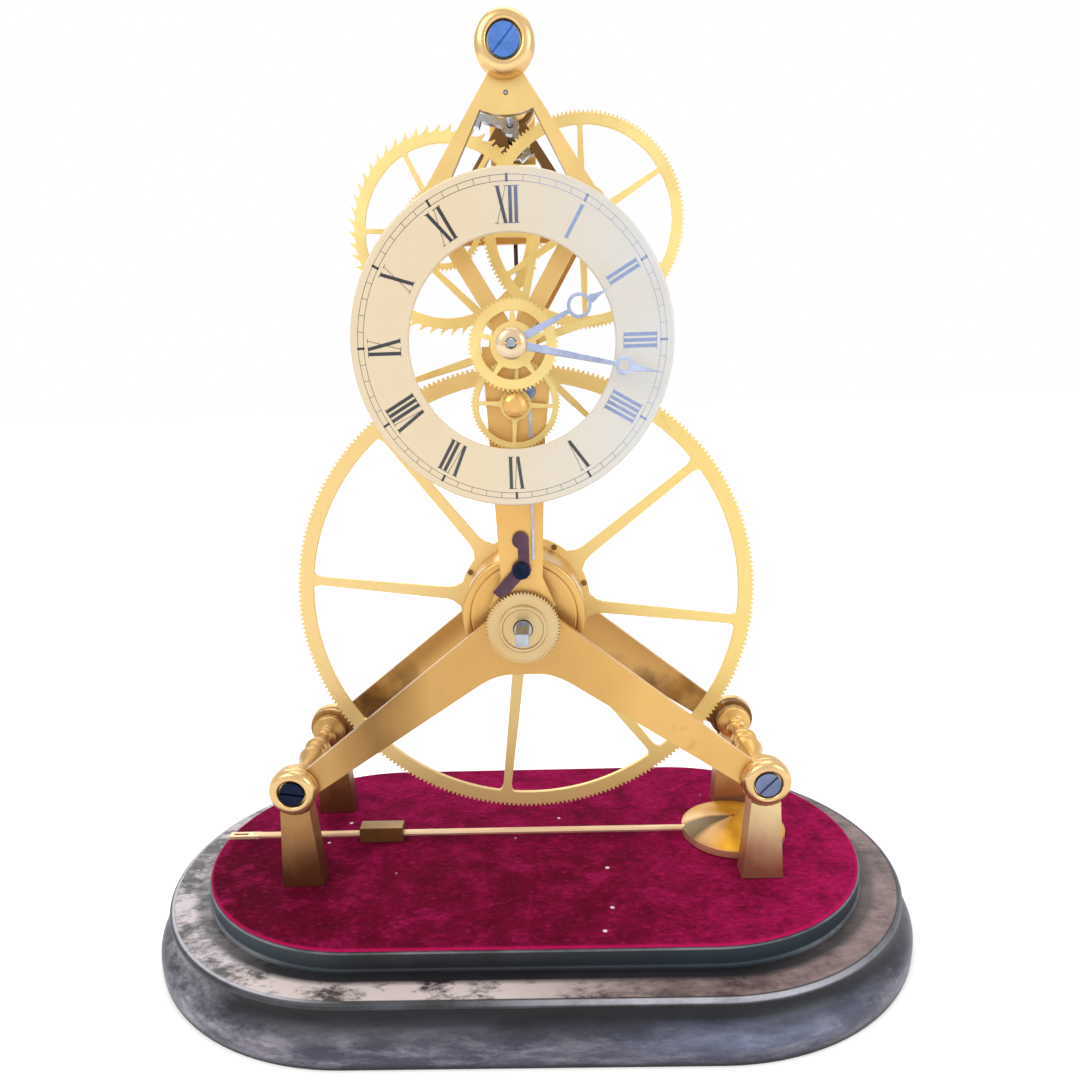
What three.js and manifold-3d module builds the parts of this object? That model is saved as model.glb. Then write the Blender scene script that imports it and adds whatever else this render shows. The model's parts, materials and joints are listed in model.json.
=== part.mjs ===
// Skeleton clock on an ebonised oval stand, spring driven, with its half-second pendulum laid on the velvet.
// Millimetres. X runs to the right of the dial, Y to the back, Z up.
// The origin is the middle of the stand's underside. Every arbor lies along Y.
import * as THREE from 'three';
import { mergeVertices } from 'three/addons/utils/BufferGeometryUtils.js';
import Module from 'manifold-3d';

const wasm = await Module();
wasm.setup();

// Clearances
const fit = 0.3; // between fixed pieces that meet round a hole or on a curved seat
const play = 0.45; // round an arbor or pipe that turns
const shake = 0.5; // endwise, between a turning piece and its neighbour
const overrun = 2; // how far a cutting shape passes the faces that it cuts
const smallHoleRadius = 3.2; // holes below this size have fewer sides

// The stand: an oval made of two half circles joined by straight sides
const straightLength = 144.6;
const plinthDepth = 207;
const plinthHeight = 21.5;
const throatDepth = 189;
const ledgeDepth = 195.6;
const ledgeThickness = 3.8;
const stageDepth = 160.4;
const stageHeight = 8.6;
const stageLip = 0.8;
const stageLipHeight = 1.6;
const velvetDepth = 157.4;
const velvetThickness = 1.2;
const standSegments = 36;

// The frame: two plates held apart by three pillars
const plateThickness = 3.5;
const plateGap = 62.5;
const frameMiddle = 3.75;
const pillarReach = 29.5; // past the stand's straight sides
const lowPillarHeight = 46.6; // above the velvet
const greatWheelLift = 4.6; // from the lying bob to the great wheel's lowest teeth
const centreArborRise = 109.9; // above the barrel arbor
const upperArborRise = 46.3; // above the centre arbor
const upperArborSpan = 55.4;
const topPillarRise = 14.5; // above the pallet arbor
const plateEndRadius = 10;
const hubDrop = 21.1; // from the barrel arbor to the arch between the legs
const hubArchHalf = 5.5; // half the arch's level stretch
const hubArchReach = 9.5; // along a leg, from the arch's corner to the curve's end
const stemWidthLow = 15.2;
const stemWidthHigh = 24.6;
const shoulderWidth = 27;
const shoulderRise = 8;
const shoulderTop = 22;
const legWidthHub = 21.6;
const legWidthFoot = 10.6;
const legLineOffset = 2.1; // the leg's middle line passes this far below the pillar
const sectorCornerDrop = 4.7; // below the pallet arbor
const sectorWidth = 20.4;
const sectorBulge = 2.2;
const neckWidth = 12.6;
const neckRise = 5.6;
const armWidthNeck = 2.3;
const armWidthCorner = 7.4;
const cornerSpan = 59;
const cornerRise = 3.2; // above the upper arbors
const cornerRadius = 6.4;
const lowerArmWidth = 6.4;
const centreBossRadius = 9.5;
const crossbarWidth = 4;
const roundSegments = 24;

// Pillars, their domed collars and blued screws
const pillarSeatRadius = 8;
const pillarWaistRadius = 3.1;
const pillarVaseRadius = 6.2;
const pillarShoulderRadius = 4.5;
const pillarBeadRadius = 5;
const pillarSegments = 12;
const collarRadius = 10.6;
const collarDepth = 6;
const collarRim = 2.2;
const recessRadius = 5.9;
const recessDepth = 2.6;
const pillarScrewHead = 5.4;
const pillarScrewHeadDepth = 2.6;
const pillarScrewShank = 2.3;
const pillarScrewReach = 12; // past the plate's inner face
const recessChamfer = 0.6;
const screwSlotWidth = 1;
const screwSlotDepth = 0.9;
const collarSegments = 16;
const turnedSegments = 12;
const smallSegments = 8;

// Feet
const footWidthBottom = 18.2;
const footWidthTop = 11.4;
const footDepth = 10;
const footEyeThickness = 3; // between the plate and the pillar
const footEyeRadius = 8.2;
const footProud = 3.5; // in front of the plate's outer face

// Going barrel and great wheel
const greatTeeth = 300;
const centrePinionLeaves = 18;
const greatRimWidth = 6.2;
const greatHubRadius = 29.6;
const greatThickness = 2.2;
const greatWheelFront = 10;
const greatSpokeHub = 6.2;
const greatSpokeRim = 4;
const greatSpokeCount = 8;
const greatSpokeTurn = -7; // degrees
const drumRadius = 26.2;
const drumLength = 27;
const drumWall = 1.6;
const drumFrontWall = 1.8;
const barrelCoreRadius = 6.2;
const barrelArborRadius = 3.8;
const barrelPivotRadius = 2.2;
const windingSquare = 5.2;
const windingReach = 20; // from the plate's face to the tip of the square
const springTurns = 4.5;
const springStrip = 1.1;
const springWidth = 17;
const springStepsPerTurn = 10;

// Ratchet work on the front plate
const ratchetTeeth = 65;
const ratchetRadius = 15.2;
const ratchetToothDepth = 1.2;
const ratchetLeanShare = -0.35; // of the pitch, from a tooth's middle to its tip
const ratchetThickness = 2.2;
const ratchetOffset = 1.6; // from the plate's face
const ratchetBossRadius = 9.8;
const ratchetBossRise = 1.6;
const ratchetDishRadius = 8.2;
const ratchetDishDepth = 0.8;
const clickThickness = 2;
const clickPivotAbove = 23.9; // the barrel arbor
const clickLobeRise = 15.5;
const clickLobeRadius = 3.4;
const clickWaistWidth = 4.4;
const clickWaistRight = 1.1; // from the click's screw to the waist's middle line
const clickEyeRadius = 4;
const clickTailWidth = 5.2;
const clickNoseLeft = 9.9;
const clickNoseAbove = 13.3;
const clickScrewHead = 3.4;
const clickScrewDepth = 1.8;
const clickScrewShank = 1.5;
const clickSpringWidth = 1.5;
const clickSpringThickness = 1;
const clickSpringFoot = 5.4; // to the right of the middle line
const clickSpringTip = 4.9;
const clickSpringFootAbove = 16.8; // below the centre arbor
const springScrewHead = 2.3;
const springScrewDepth = 1.3;
const springScrewShank = 1.1;

// Going train
const centreWheelTeeth = 160;
const thirdPinionLeaves = 6;
const thirdWheelTeeth = 150;
const escapeDriverTeeth = 60;
const escapeTeeth = 54;
const escapeRadius = 40;
const escapeToothDepth = 2.4;
const escapeLeanShare = -0.45; // of the pitch, from a tooth's middle to its tip
const trainWheelThickness = 1.5;
const centreWheelFront = -20;
const thirdWheelFront = -2;
const escapeWheelFront = 11;
const pinionOverlap = 2.2; // a pinion is wider than its wheel by this on each side
const centreArborRadius = 1.6;
const thirdArborRadius = 1.2;
const escapeArborRadius = 0.9;
const trainPivotRadius = 0.6;
const wheelColletRadius = 3.2;
const wheelColletLength = 2.4;
const centreRimWidth = 5;
const thirdRimWidth = 6;
const escapeRimWidth = 4.4;
const driverRimWidth = 3;
const centreHubRadius = 6.5;
const thirdHubRadius = 5.2;
const escapeHubRadius = 5;
const driverHubRadius = 4.6;
const trainSpokeHub = 3.6;
const trainSpokeRim = 2.1;
const trainSpokeCount = 6;
const centreSpokeTurn = 16; // degrees
const thirdSpokeTurn = 31; // degrees
const escapeSpokeTurn = -3; // degrees
const driverSpokeTurn = 0; // degrees

// Tooth proportions, in modules
const rimStepSize = 16; // along a wheel's rim, for each side of a window's curve
const addendumShare = 0.6;
const dedendumShare = 1.1;
const leafDedendumShare = 1.5;

// Motion work and hands
const cannonLeaves = 20;
const minuteWheelTeeth = 72;
const minutePinionLeaves = 18;
const hourWheelTeeth = 60;
const motionDistance = 21.3;
const motionWheelThickness = 1.4;
const minuteWheelOffset = 4.6; // from the plate's face to the wheel's back
const hourWheelGap = 3; // between the minute wheel and the hour wheel
const hourRimWidth = 4.6;
const hourHubRadius = 8.4;
const minuteRimWidth = 3;
const minuteHubRadius = 5.9;
const motionSpokeHub = 2;
const motionSpokeRim = 1.3;
const minuteStudRadius = 1.5;
const minutePipeWall = 0.9;
const pinionSideOverlap = 1.2; // a motion pinion is wider than its wheel by this on each side
const minuteSpokeCount = 4;
const minuteSpokeTurn = -4; // degrees
const hourSpokeCount = 5;
const hourSpokeTurn = 90; // degrees
const minuteColletRadius = 4.6;
const minuteColletDepth = 2.6;
const cannonPipeRadius = 2.35;
const hourPipeRadius = 3.5;
const dialRadius = 56.5;
const dialOpening = 36.1;
const dialThickness = 1.5;
const dialBevel = 0.5;
const dialStandOff = 25; // from the plate's face to the dial's front
const dialPostRing = 45;
const dialPostRadius = 2.3;
const dialSpigotRadius = 1.3;
const dialSpigotTail = 3.2;
const dialSegments = 56;
const hourHandGap = 3.2; // from the dial to the hand's back
const minuteHandGap = 5.8;
const handThickness = 0.8;
const hourHandLength = 37;
const hourRingAt = 26.2;
const hourRingRadius = 4.2;
const minuteHandLength = 51.5;
const minuteRingAt = 39.4;
const minuteRingRadius = 3.1;
const handRingWidth = 1.15;
const handWidthRoot = 3;
const handWidthTip = 1.5;
const handPointShare = 0.45;
const hourEyeRadius = 5.2;
const minuteEyeRadius = 4;
const hourHandAngle = 63.4; // degrees clockwise from twelve
const minuteHandAngle = 102.2; // degrees clockwise from twelve
const handColletRadius = 5.4;
const handColletDepth = 3;
const handPinRadius = 0.45;
const handPinLength = 7;

// Escapement, crutch and suspension
const anchorThickness = 4.6;
const anchorSpanTeeth = 4.5;
const palletClear = 0.8; // from the tips to a pallet at rest
const palletArborReach = 7.4; // from the escape wheel's tips to the pallet arbor
const anchorColletRadius = 3.6;
const anchorArmWidth = 2.6;
const palletHeight = 4.6;
const palletWidth = 1.9;
const palletArborRadius = 1.2;
const palletArborClearance = 0.65; // in the rear plate
const crutchColletRadius = 2.6;
const crutchThickness = 1.5;
const crutchWidth = 1.8;
const crutchLength = 51;
const crutchGap = 3; // behind the rear plate
const crutchPinRadius = 1;
const cockStandOff = 10.5;
const cockThickness = 2.6;
const cockWidth = 20;
const cockBelow = 6.5; // below the pallet arbor
const cockAbove = 13;
const cockPostRadius = 2.1;
const cockSpigotRadius = 1.1;
const cockPostSpan = 13.4;
const cockPostDrop = 2.1;
const suspensionStudRadius = 1.3;
const suspensionStudLength = 8;
const suspensionStudRise = 8.6;
const chopWidth = 6;
const chopHeight = 4.2;
const chopDepth = 2.4;
const suspensionStrip = 0.5;
const suspensionStripWidth = 4;
const suspensionFree = 7.4;

// The pendulum, laid along X on the velvet
const bobRadius = 24.4;
const bobThickness = 9;
const bobEdge = 3.6; // the straight rim round its flat back
const bobCentre = 97.1;
const pendulumY = 5.5;
const pendulumHookTip = 245.4; // from the bob's middle to the hook's tip
const rodRadius = 1.6;
const rodRise = 2.9; // from the bob's flat back to the rod's middle line
const rodTail = 1.5; // past the rating nut
const slideBlockLength = 21;
const slideBlockSize = 7.6;
const slideBlockFromBob = 170.2;
const hookLength = 15;
const hookWidth = 4.4;
const hookWallLength = 2;
const hookSlotWidth = 1.7;
const hookSlotLength = 7;
const hookThickness = 1.6;
const nutRadius = 2.5;
const nutThickness = 3;
const nutFromBob = 11; // from the bob's middle to the nut
const nutSlotRoom = 1.2; // at each end of the nut
const nutSlotSide = 0.8; // beside and before the nut

// Heights and faces that follow from the sizes above
const degree = Math.PI / 180;
const fullTurn = Math.PI * 2;
const quarterTurn = Math.PI / 2;
const straightHalf = straightLength / 2;
const ledgeTop = plinthHeight + ledgeThickness;
const stageTop = ledgeTop + stageHeight;
const velvetTop = stageTop + velvetThickness;
const frontInner = frameMiddle - plateGap / 2;
const frontFace = frontInner - plateThickness;
const rearInner = frameMiddle + plateGap / 2;
const rearFace = rearInner + plateThickness;
const lowPillarZ = velvetTop + lowPillarHeight;
const greatMesh = meshOf(centreArborRise, greatTeeth, centrePinionLeaves);
const barrelZ = velvetTop + fit + bobThickness + greatWheelLift + greatMesh.wheel.tip;
const centreZ = barrelZ + centreArborRise;
const upperZ = centreZ + upperArborRise;
const upperX = upperArborSpan / 2;
const palletZ = upperZ + Math.sqrt((escapeRadius + palletArborReach) ** 2 - upperX ** 2);
const topPillarZ = palletZ + topPillarRise;
const pillarX = straightHalf + pillarReach;
const cornerX = cornerSpan / 2;
const cornerZ = upperZ + cornerRise;
const minuteWheelFront = frontFace - minuteWheelOffset - motionWheelThickness;
const hourWheelFront = minuteWheelFront - hourWheelGap - motionWheelThickness;
const dialFront = frontFace - dialStandOff;
const hourHandFront = dialFront - hourHandGap - handThickness;
const minuteHandFront = dialFront - minuteHandGap - handThickness;
const handPinY = minuteHandFront - handColletDepth - handPinRadius;
const handEnd = handPinY - 2 * handPinRadius;
const crutchFront = rearFace + crutchGap;
const cockFront = rearFace + cockStandOff;
const cockBack = cockFront + cockThickness;
const pendulumBottom = velvetTop + fit;
const pendulumZ = pendulumBottom + rodRise;
const pillarPlaces = {
  left: [-pillarX, lowPillarZ],
  right: [pillarX, lowPillarZ],
  top: [0, topPillarZ],
};

// Finishes
const finishes = {
  brass: { color: 0xd8a64a, metalness: 1, roughness: 0.28 },
  wheelBrass: { color: 0xe6bd57, metalness: 1, roughness: 0.26 },
  steel: { color: 0xb9bcc4, metalness: 1, roughness: 0.3 },
  bluedSteel: { color: 0x2b4c9a, metalness: 1, roughness: 0.22 },
  clickSteel: { color: 0x4a3140, metalness: 1, roughness: 0.35 },
  dial: { color: 0xe3d7bd, metalness: 0.2, roughness: 0.5 },
  ebonised: { color: 0x16161a, metalness: 0, roughness: 0.35 },
  wornEbony: { color: 0x4a403c, metalness: 0, roughness: 0.5 },
  velvet: { color: 0x7c0b2f, metalness: 0, roughness: 0.95 },
};

const clock = new THREE.Group();

// Solids

function signedVolume(vertices, triangles) {
  let sum = 0;
  const corner = [new THREE.Vector3(), new THREE.Vector3(), new THREE.Vector3()];
  for (let i = 0; i < triangles.length; i += 3) {
    for (let j = 0; j < 3; j += 1) {
      corner[j].fromArray(vertices, triangles[i + j] * 3);
    }
    sum += corner[0].dot(corner[1].cross(corner[2]));
  }
  return sum;
}

function solidOf(geometry) {
  const bare = geometry.clone();
  bare.deleteAttribute('normal');
  bare.deleteAttribute('uv');
  const merged = mergeVertices(bare);
  const vertices = merged.attributes.position.array;
  const index = merged.index.array;
  const triangles = [];
  for (let i = 0; i < index.length; i += 3) {
    const [a, b, c] = [index[i], index[i + 1], index[i + 2]];
    if (a !== b && b !== c && c !== a) {
      triangles.push(a, b, c);
    }
  }
  if (signedVolume(vertices, triangles) < 0) {
    triangles.reverse();
  }
  return new wasm.Manifold(new wasm.Mesh({
    numProp: 3,
    vertProperties: new Float32Array(vertices),
    triVerts: new Uint32Array(triangles),
  }));
}

function joined(solids) {
  return solids.reduce((whole, solid) => whole.add(solid));
}

function without(solid, cutters) {
  return cutters.reduce((rest, cutter) => rest.subtract(cutter), solid);
}

function addNode(name, solid, finish) {
  const mesh = solid.getMesh();
  const geometry = new THREE.BufferGeometry();
  geometry.setAttribute('position', new THREE.BufferAttribute(new Float32Array(mesh.vertProperties), 3));
  geometry.setIndex(new THREE.BufferAttribute(new Uint32Array(mesh.triVerts), 1));
  geometry.computeVertexNormals();
  const node = new THREE.Mesh(geometry, new THREE.MeshStandardMaterial(finishes[finish]));
  node.name = name;
  clock.add(node);
}

// A flat outline in X and Z, given thickness towards the back from y = front
function slab(shape, front, thickness, curveSegments = roundSegments) {
  const geometry = new THREE.ExtrudeGeometry(shape, {
    depth: thickness, bevelEnabled: false, curveSegments,
  });
  geometry.rotateX(quarterTurn);
  geometry.translate(0, front + thickness, 0);
  return solidOf(geometry);
}

function outline(points) {
  return new THREE.Shape(points.map(([x, z]) => new THREE.Vector2(x, z)));
}

// A turned piece about the line x, z: the profile lists radius and y
function turned(profile, x, z, segments = turnedSegments) {
  const points = profile.map(([radius, y]) => new THREE.Vector2(radius, y));
  const geometry = new THREE.LatheGeometry(points, segments);
  geometry.translate(x, 0, z);
  return solidOf(geometry);
}

// A turned piece whose axis runs along X at y, z: the profile lists radius and x
function turnedX(profile, y, z, segments = turnedSegments) {
  const points = profile.map(([radius, x]) => new THREE.Vector2(radius, x));
  const geometry = new THREE.LatheGeometry(points, segments);
  geometry.rotateZ(-quarterTurn);
  geometry.translate(0, y, z);
  return solidOf(geometry);
}

// A turned piece whose axis runs along Z at x, y: the profile lists radius and z
function turnedZ(profile, x, y, segments = turnedSegments) {
  const points = profile.map(([radius, z]) => new THREE.Vector2(radius, z));
  const geometry = new THREE.LatheGeometry(points, segments);
  geometry.rotateX(quarterTurn);
  geometry.translate(x, y, 0);
  return solidOf(geometry);
}

function rod(radius, front, back, x, z, segments = turnedSegments) {
  return turned([[0, front], [radius, front], [radius, back], [0, back]], x, z, segments);
}

function box(left, right, front, back, bottom, top) {
  const geometry = new THREE.BoxGeometry(right - left, back - front, top - bottom);
  geometry.translate((left + right) / 2, (front + back) / 2, (bottom + top) / 2);
  return solidOf(geometry);
}

// A straight bar between two points of the X Z plane, with its own width at each end
function bar([x1, z1], width1, [x2, z2], width2, front, thickness) {
  const length = Math.hypot(x2 - x1, z2 - z1);
  const nx = -(z2 - z1) / length;
  const nz = (x2 - x1) / length;
  const [h1, h2] = [width1 / 2, width2 / 2];
  return slab(outline([
    [x1 + nx * h1, z1 + nz * h1],
    [x1 - nx * h1, z1 - nz * h1],
    [x2 - nx * h2, z2 - nz * h2],
    [x2 + nx * h2, z2 + nz * h2],
  ]), front, thickness);
}

// An oval solid of the stand: the profile lists half depth and z, from the axis round to the axis
function oval(profile) {
  const points = profile.map(([half, z]) => new THREE.Vector2(half, z));
  const ends = [-straightHalf, straightHalf].map((x) => {
    const end = new THREE.LatheGeometry(points, standSegments);
    end.rotateX(quarterTurn);
    end.translate(x, 0, 0);
    return solidOf(end);
  });
  const section = [...profile, ...profile.slice(1, -1).reverse().map(([half, z]) => [-half, z])];
  const middle = new THREE.ExtrudeGeometry(outline(section), { depth: straightLength, bevelEnabled: false });
  middle.rotateX(quarterTurn);
  middle.rotateZ(quarterTurn);
  middle.translate(-straightHalf, 0, 0);
  return joined([solidOf(middle), ...ends]);
}

// Wheels

// Pointed teeth: one tooth stands at the angle toothAt
function toothedShape(teeth, tip, root, toothAt, tipTurnShare = 0) {
  const pitch = fullTurn / teeth;
  const points = [];
  for (let i = 0; i < teeth; i += 1) {
    const angle = toothAt + i * pitch;
    const tipAngle = angle + tipTurnShare * pitch;
    points.push([root * Math.cos(angle - pitch / 2), root * Math.sin(angle - pitch / 2)]);
    points.push([tip * Math.cos(tipAngle), tip * Math.sin(tipAngle)]);
  }
  return points;
}

function ring(radius, steps, from, to) {
  const points = [];
  for (let i = 0; i <= steps; i += 1) {
    const angle = from + ((to - from) * i) / steps;
    points.push([radius * Math.cos(angle), radius * Math.sin(angle)]);
  }
  return points;
}

// The windows between the spokes of a crossed-out wheel
function windows({ rimInner, hub, spokes, spokeHub, spokeRim, spokeAt }) {
  const holes = [];
  const rimSteps = Math.ceil(rimInner / rimStepSize);
  const hubSteps = 1;
  for (let i = 0; i < spokes; i += 1) {
    const from = spokeAt + (i * fullTurn) / spokes;
    const to = spokeAt + ((i + 1) * fullTurn) / spokes;
    const rimHalf = Math.asin(spokeRim / 2 / rimInner);
    const hubHalf = Math.asin(spokeHub / 2 / hub);
    const points = [
      ...ring(rimInner, rimSteps, from + rimHalf, to - rimHalf),
      ...ring(hub, hubSteps, to - hubHalf, from + hubHalf),
    ];
    holes.push(points);
  }
  return holes;
}

function wheelSlab({ x, z, front, thickness, teethPoints, holes, bore }) {
  const moved = (points) => points.map(([px, pz]) => new THREE.Vector2(px + x, pz + z));
  const shape = new THREE.Shape(moved(teethPoints));
  const boreSteps = smallSegments;
  shape.holes = [...holes, ring(bore, boreSteps, 0, fullTurn).slice(0, -1)]
    .map((points) => new THREE.Path(moved(points)));
  return slab(shape, front, thickness);
}

// Two wheels in mesh: pitch radii from the distance and the counts, with tips and roots
function meshOf(distance, wheelTeeth, pinionTeeth) {
  const module = (2 * distance) / (wheelTeeth + pinionTeeth);
  const of = (teeth, rootShare) => ({
    teeth,
    pitch: (teeth * module) / 2,
    tip: (teeth * module) / 2 + addendumShare * module,
    root: (teeth * module) / 2 - rootShare * module,
  });
  return { wheel: of(wheelTeeth, dedendumShare), pinion: of(pinionTeeth, leafDedendumShare) };
}

function gearPoints(gear, toothAt) {
  return toothedShape(gear.teeth, gear.tip, gear.root, toothAt);
}

// A gap, not a tooth, stands at the angle gapAt
function partnerPoints(gear, gapAt) {
  return toothedShape(gear.teeth, gear.tip, gear.root, gapAt + Math.PI / gear.teeth);
}

const thirdDistance = Math.hypot(upperX, upperZ - centreZ);
const thirdDirection = Math.atan2(upperZ - centreZ, upperX);
const thirdMesh = meshOf(thirdDistance, centreWheelTeeth, thirdPinionLeaves);
const escapeMesh = meshOf(upperArborSpan, thirdWheelTeeth, escapeDriverTeeth);
const minuteMesh = meshOf(motionDistance, minuteWheelTeeth, cannonLeaves);
const hourMesh = meshOf(motionDistance, hourWheelTeeth, minutePinionLeaves);

// The stand

function buildStand() {
  const throat = throatDepth / 2;
  const foot = plinthDepth / 2;
  const flare = foot - throat;
  // Shares of the flare and of the height, from the underside up the ogee to the throat
  const ogeeShares = [
    [0.9, 0], [1, 0.08], [1, 0.3], [0.92, 0.44], [0.68, 0.57], [0.34, 0.68], [0.1, 0.82], [0, 1],
  ];
  const ogee = ogeeShares.map(([out, up]) => [throat + flare * out, plinthHeight * up]);
  addNode('plinth', oval([[0, 0], ...ogee, [0, plinthHeight]]), 'ebonised');

  const ledge = ledgeDepth / 2;
  const nosing = ledgeThickness / 2;
  // Shares of the nosing's radius, outwards and upwards
  const nosingShares = [[0, 0], [0.7, 0.3], [1, 1], [0.7, 1.7], [0, 2]];
  const edge = nosingShares.map(([out, up]) => [ledge - nosing + nosing * out, plinthHeight + nosing * up]);
  addNode('ledge_board', oval([[0, plinthHeight], ...edge, [0, ledgeTop]]), 'wornEbony');

  const stage = stageDepth / 2;
  addNode('stage', oval([
    [0, ledgeTop], [stage, ledgeTop], [stage, ledgeTop + stageLipHeight],
    [stage - stageLip, ledgeTop + stageLipHeight], [stage - stageLip, stageTop], [0, stageTop],
  ]), 'ebonised');

  const velvet = velvetDepth / 2;
  addNode('velvet_cover', oval([
    [0, stageTop], [velvet, stageTop], [velvet - velvetThickness / 2, velvetTop], [0, velvetTop],
  ]), 'velvet');
}

// The frame

function hole(radius, x, z, front, back) {
  const segments = radius < smallHoleRadius ? smallSegments : turnedSegments;
  return rod(radius, front - overrun, back + overrun, x, z, segments);
}

// Where a leg's middle line ends, beside and a little below the pillar
function legEnd(side) {
  const fall = barrelZ - lowPillarZ;
  const length = Math.hypot(pillarX, fall);
  const [inward, down] = [fall, pillarX].map((leg) => (legLineOffset * leg) / length);
  return [side * (pillarX - inward), lowPillarZ - down];
}

// The plate below the barrel arbor: an arch that flows into the legs' lower edges
function hubArch() {
  const [endX, endZ] = legEnd(1);
  const length = Math.hypot(endX, barrelZ - endZ);
  const [downX, downZ] = [(endZ - barrelZ) / length, -endX / length];
  const from = [(downX * legWidthHub) / 2, barrelZ + (downZ * legWidthHub) / 2];
  const to = [endX + (downX * legWidthFoot) / 2, endZ + (downZ * legWidthFoot) / 2];
  const edge = Math.hypot(to[0] - from[0], to[1] - from[1]);
  const along = [(to[0] - from[0]) / edge, (to[1] - from[1]) / edge];
  const base = barrelZ - hubDrop;
  const corner = from[0] + ((base - from[1]) * along[0]) / along[1];
  const curveEnd = [corner + along[0] * hubArchReach, base + along[1] * hubArchReach];
  const arch = new THREE.Shape();
  arch.moveTo(0, barrelZ);
  arch.lineTo(-curveEnd[0], curveEnd[1]);
  arch.quadraticCurveTo(-corner, base, -hubArchHalf, base);
  arch.lineTo(hubArchHalf, base);
  arch.quadraticCurveTo(corner, base, ...curveEnd);
  return arch;
}

function frameOutlineSolid(front) {
  const thick = plateThickness;
  const disc = (radius, x, z) => rod(radius, front, front + thick, x, z, roundSegments);
  const pieces = [
    disc(plateEndRadius, 0, topPillarZ),
    disc(centreBossRadius, 0, centreZ),
    slab(hubArch(), front, thick, smallSegments),
    bar([0, barrelZ], stemWidthLow, [0, centreZ], stemWidthHigh, front, thick),
    bar([0, barrelZ + shoulderRise], shoulderWidth, [0, barrelZ + shoulderTop], stemWidthLow, front, thick),
  ];
  const corner = palletZ - sectorCornerDrop;
  const sector = outline([
    [sectorWidth / 2, corner], [neckWidth / 2, palletZ + neckRise], [0, topPillarZ],
    [-neckWidth / 2, palletZ + neckRise], [-sectorWidth / 2, corner],
  ]);
  sector.quadraticCurveTo(0, corner - sectorBulge * 2, sectorWidth / 2, corner);
  pieces.push(slab(sector, front, thick, smallSegments));
  for (const side of [-1, 1]) {
    const end = [side * pillarX, lowPillarZ];
    pieces.push(bar([0, barrelZ], legWidthHub, legEnd(side), legWidthFoot, front, thick));
    pieces.push(disc(plateEndRadius, ...end));
    const cornerPoint = [side * cornerX, cornerZ];
    const armTop = [side * (neckWidth - armWidthNeck) / 2, palletZ + neckRise];
    pieces.push(bar(armTop, armWidthNeck, cornerPoint, armWidthCorner, front, thick));
    pieces.push(disc(cornerRadius, side * (cornerX + upperX) / 2, (cornerZ + upperZ) / 2));
    pieces.push(bar(cornerPoint, lowerArmWidth, [0, centreZ], lowerArmWidth, front, thick));
  }
  return joined(pieces);
}

const cornerReach = Math.hypot(cornerX, cornerZ - centreZ);
const postX = (cornerX * dialPostRing) / cornerReach;
const postZ = centreZ + ((cornerZ - centreZ) * dialPostRing) / cornerReach;
const dialPostPlaces = {
  lower: [0, centreZ - dialPostRing],
  left: [-postX, postZ],
  right: [postX, postZ],
};
const clickPivot = [0, barrelZ + clickPivotAbove];
const springScrewPlace = [clickSpringFoot, centreZ - clickSpringFootAbove];
const minuteStudPlace = [0, centreZ - motionDistance];
const cockPostPlaces = [-1, 1].map((side) => [(side * cockPostSpan) / 2, palletZ - cockPostDrop]);

function buildPlates() {
  const arborHoles = (front, barrelHole) => {
    const back = front + plateThickness;
    const at = (radius, x, z) => hole(radius, x, z, front, back);
    return [
      at(barrelHole, 0, barrelZ),
      at(trainPivotRadius + fit, -upperX, upperZ),
      at(trainPivotRadius + fit, upperX, upperZ),
      ...Object.values(pillarPlaces).map(([x, z]) => at(pillarScrewShank + fit, x, z)),
    ];
  };
  const frontHole = (radius, [x, z]) => hole(radius, x, z, frontFace, frontInner);
  addNode('front_plate', without(frameOutlineSolid(frontFace), [
    ...arborHoles(frontFace, barrelArborRadius + play),
    frontHole(centreArborRadius + play, [0, centreZ]),
    frontHole(trainPivotRadius + fit, [0, palletZ]),
    ...Object.values(dialPostPlaces).map((place) => frontHole(dialSpigotRadius + fit, place)),
    frontHole(clickScrewShank + fit, clickPivot),
    frontHole(springScrewShank + fit, springScrewPlace),
    frontHole(minuteStudRadius + fit, minuteStudPlace),
  ]), 'brass');

  const crossbar = box(
    -upperX, upperX, rearInner, rearFace, upperZ - crossbarWidth / 2, upperZ + crossbarWidth / 2,
  );
  addNode('rear_plate', without(joined([frameOutlineSolid(rearInner), crossbar]), [
    ...arborHoles(rearInner, barrelPivotRadius + play),
    hole(trainPivotRadius + play, 0, centreZ, rearInner, rearFace),
    hole(palletArborRadius + palletArborClearance, 0, palletZ, rearInner, rearFace),
    ...cockPostPlaces.map(([x, z]) => hole(cockSpigotRadius + fit, x, z, rearInner, rearFace)),
  ]), 'brass');
}

// Turned pillars with a vase in each half and a bead at the middle
function buildPillars() {
  const bore = pillarScrewShank + fit;
  // Shares of the pillar's length, from its end to its middle, with the radius there
  const halfShares = [
    [0, pillarSeatRadius], [0.04, pillarSeatRadius], [0.06, pillarWaistRadius], [0.12, pillarWaistRadius],
    [0.15, pillarBeadRadius], [0.18, pillarWaistRadius],
    [0.32, pillarShoulderRadius], [0.42, pillarVaseRadius], [0.46, pillarWaistRadius],
  ];
  for (const [name, [x, z]] of Object.entries(pillarPlaces)) {
    const eye = name === 'top' ? 0 : footEyeThickness;
    const front = frontInner + eye;
    const length = plateGap - 2 * eye;
    const depth = pillarScrewReach - eye + fit;
    const outer = [...halfShares, ...halfShares.map(([share, radius]) => [1 - share, radius]).reverse()]
      .map(([share, radius]) => [radius, front + length * share]);
    addNode(`${name}_pillar`, turned([
      [0, front + depth], [bore, front + depth], [bore, front],
      ...outer,
      [bore, front + length], [bore, front + length - depth], [0, front + length - depth],
    ], x, z, pillarSegments), 'brass');
  }
}

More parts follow.
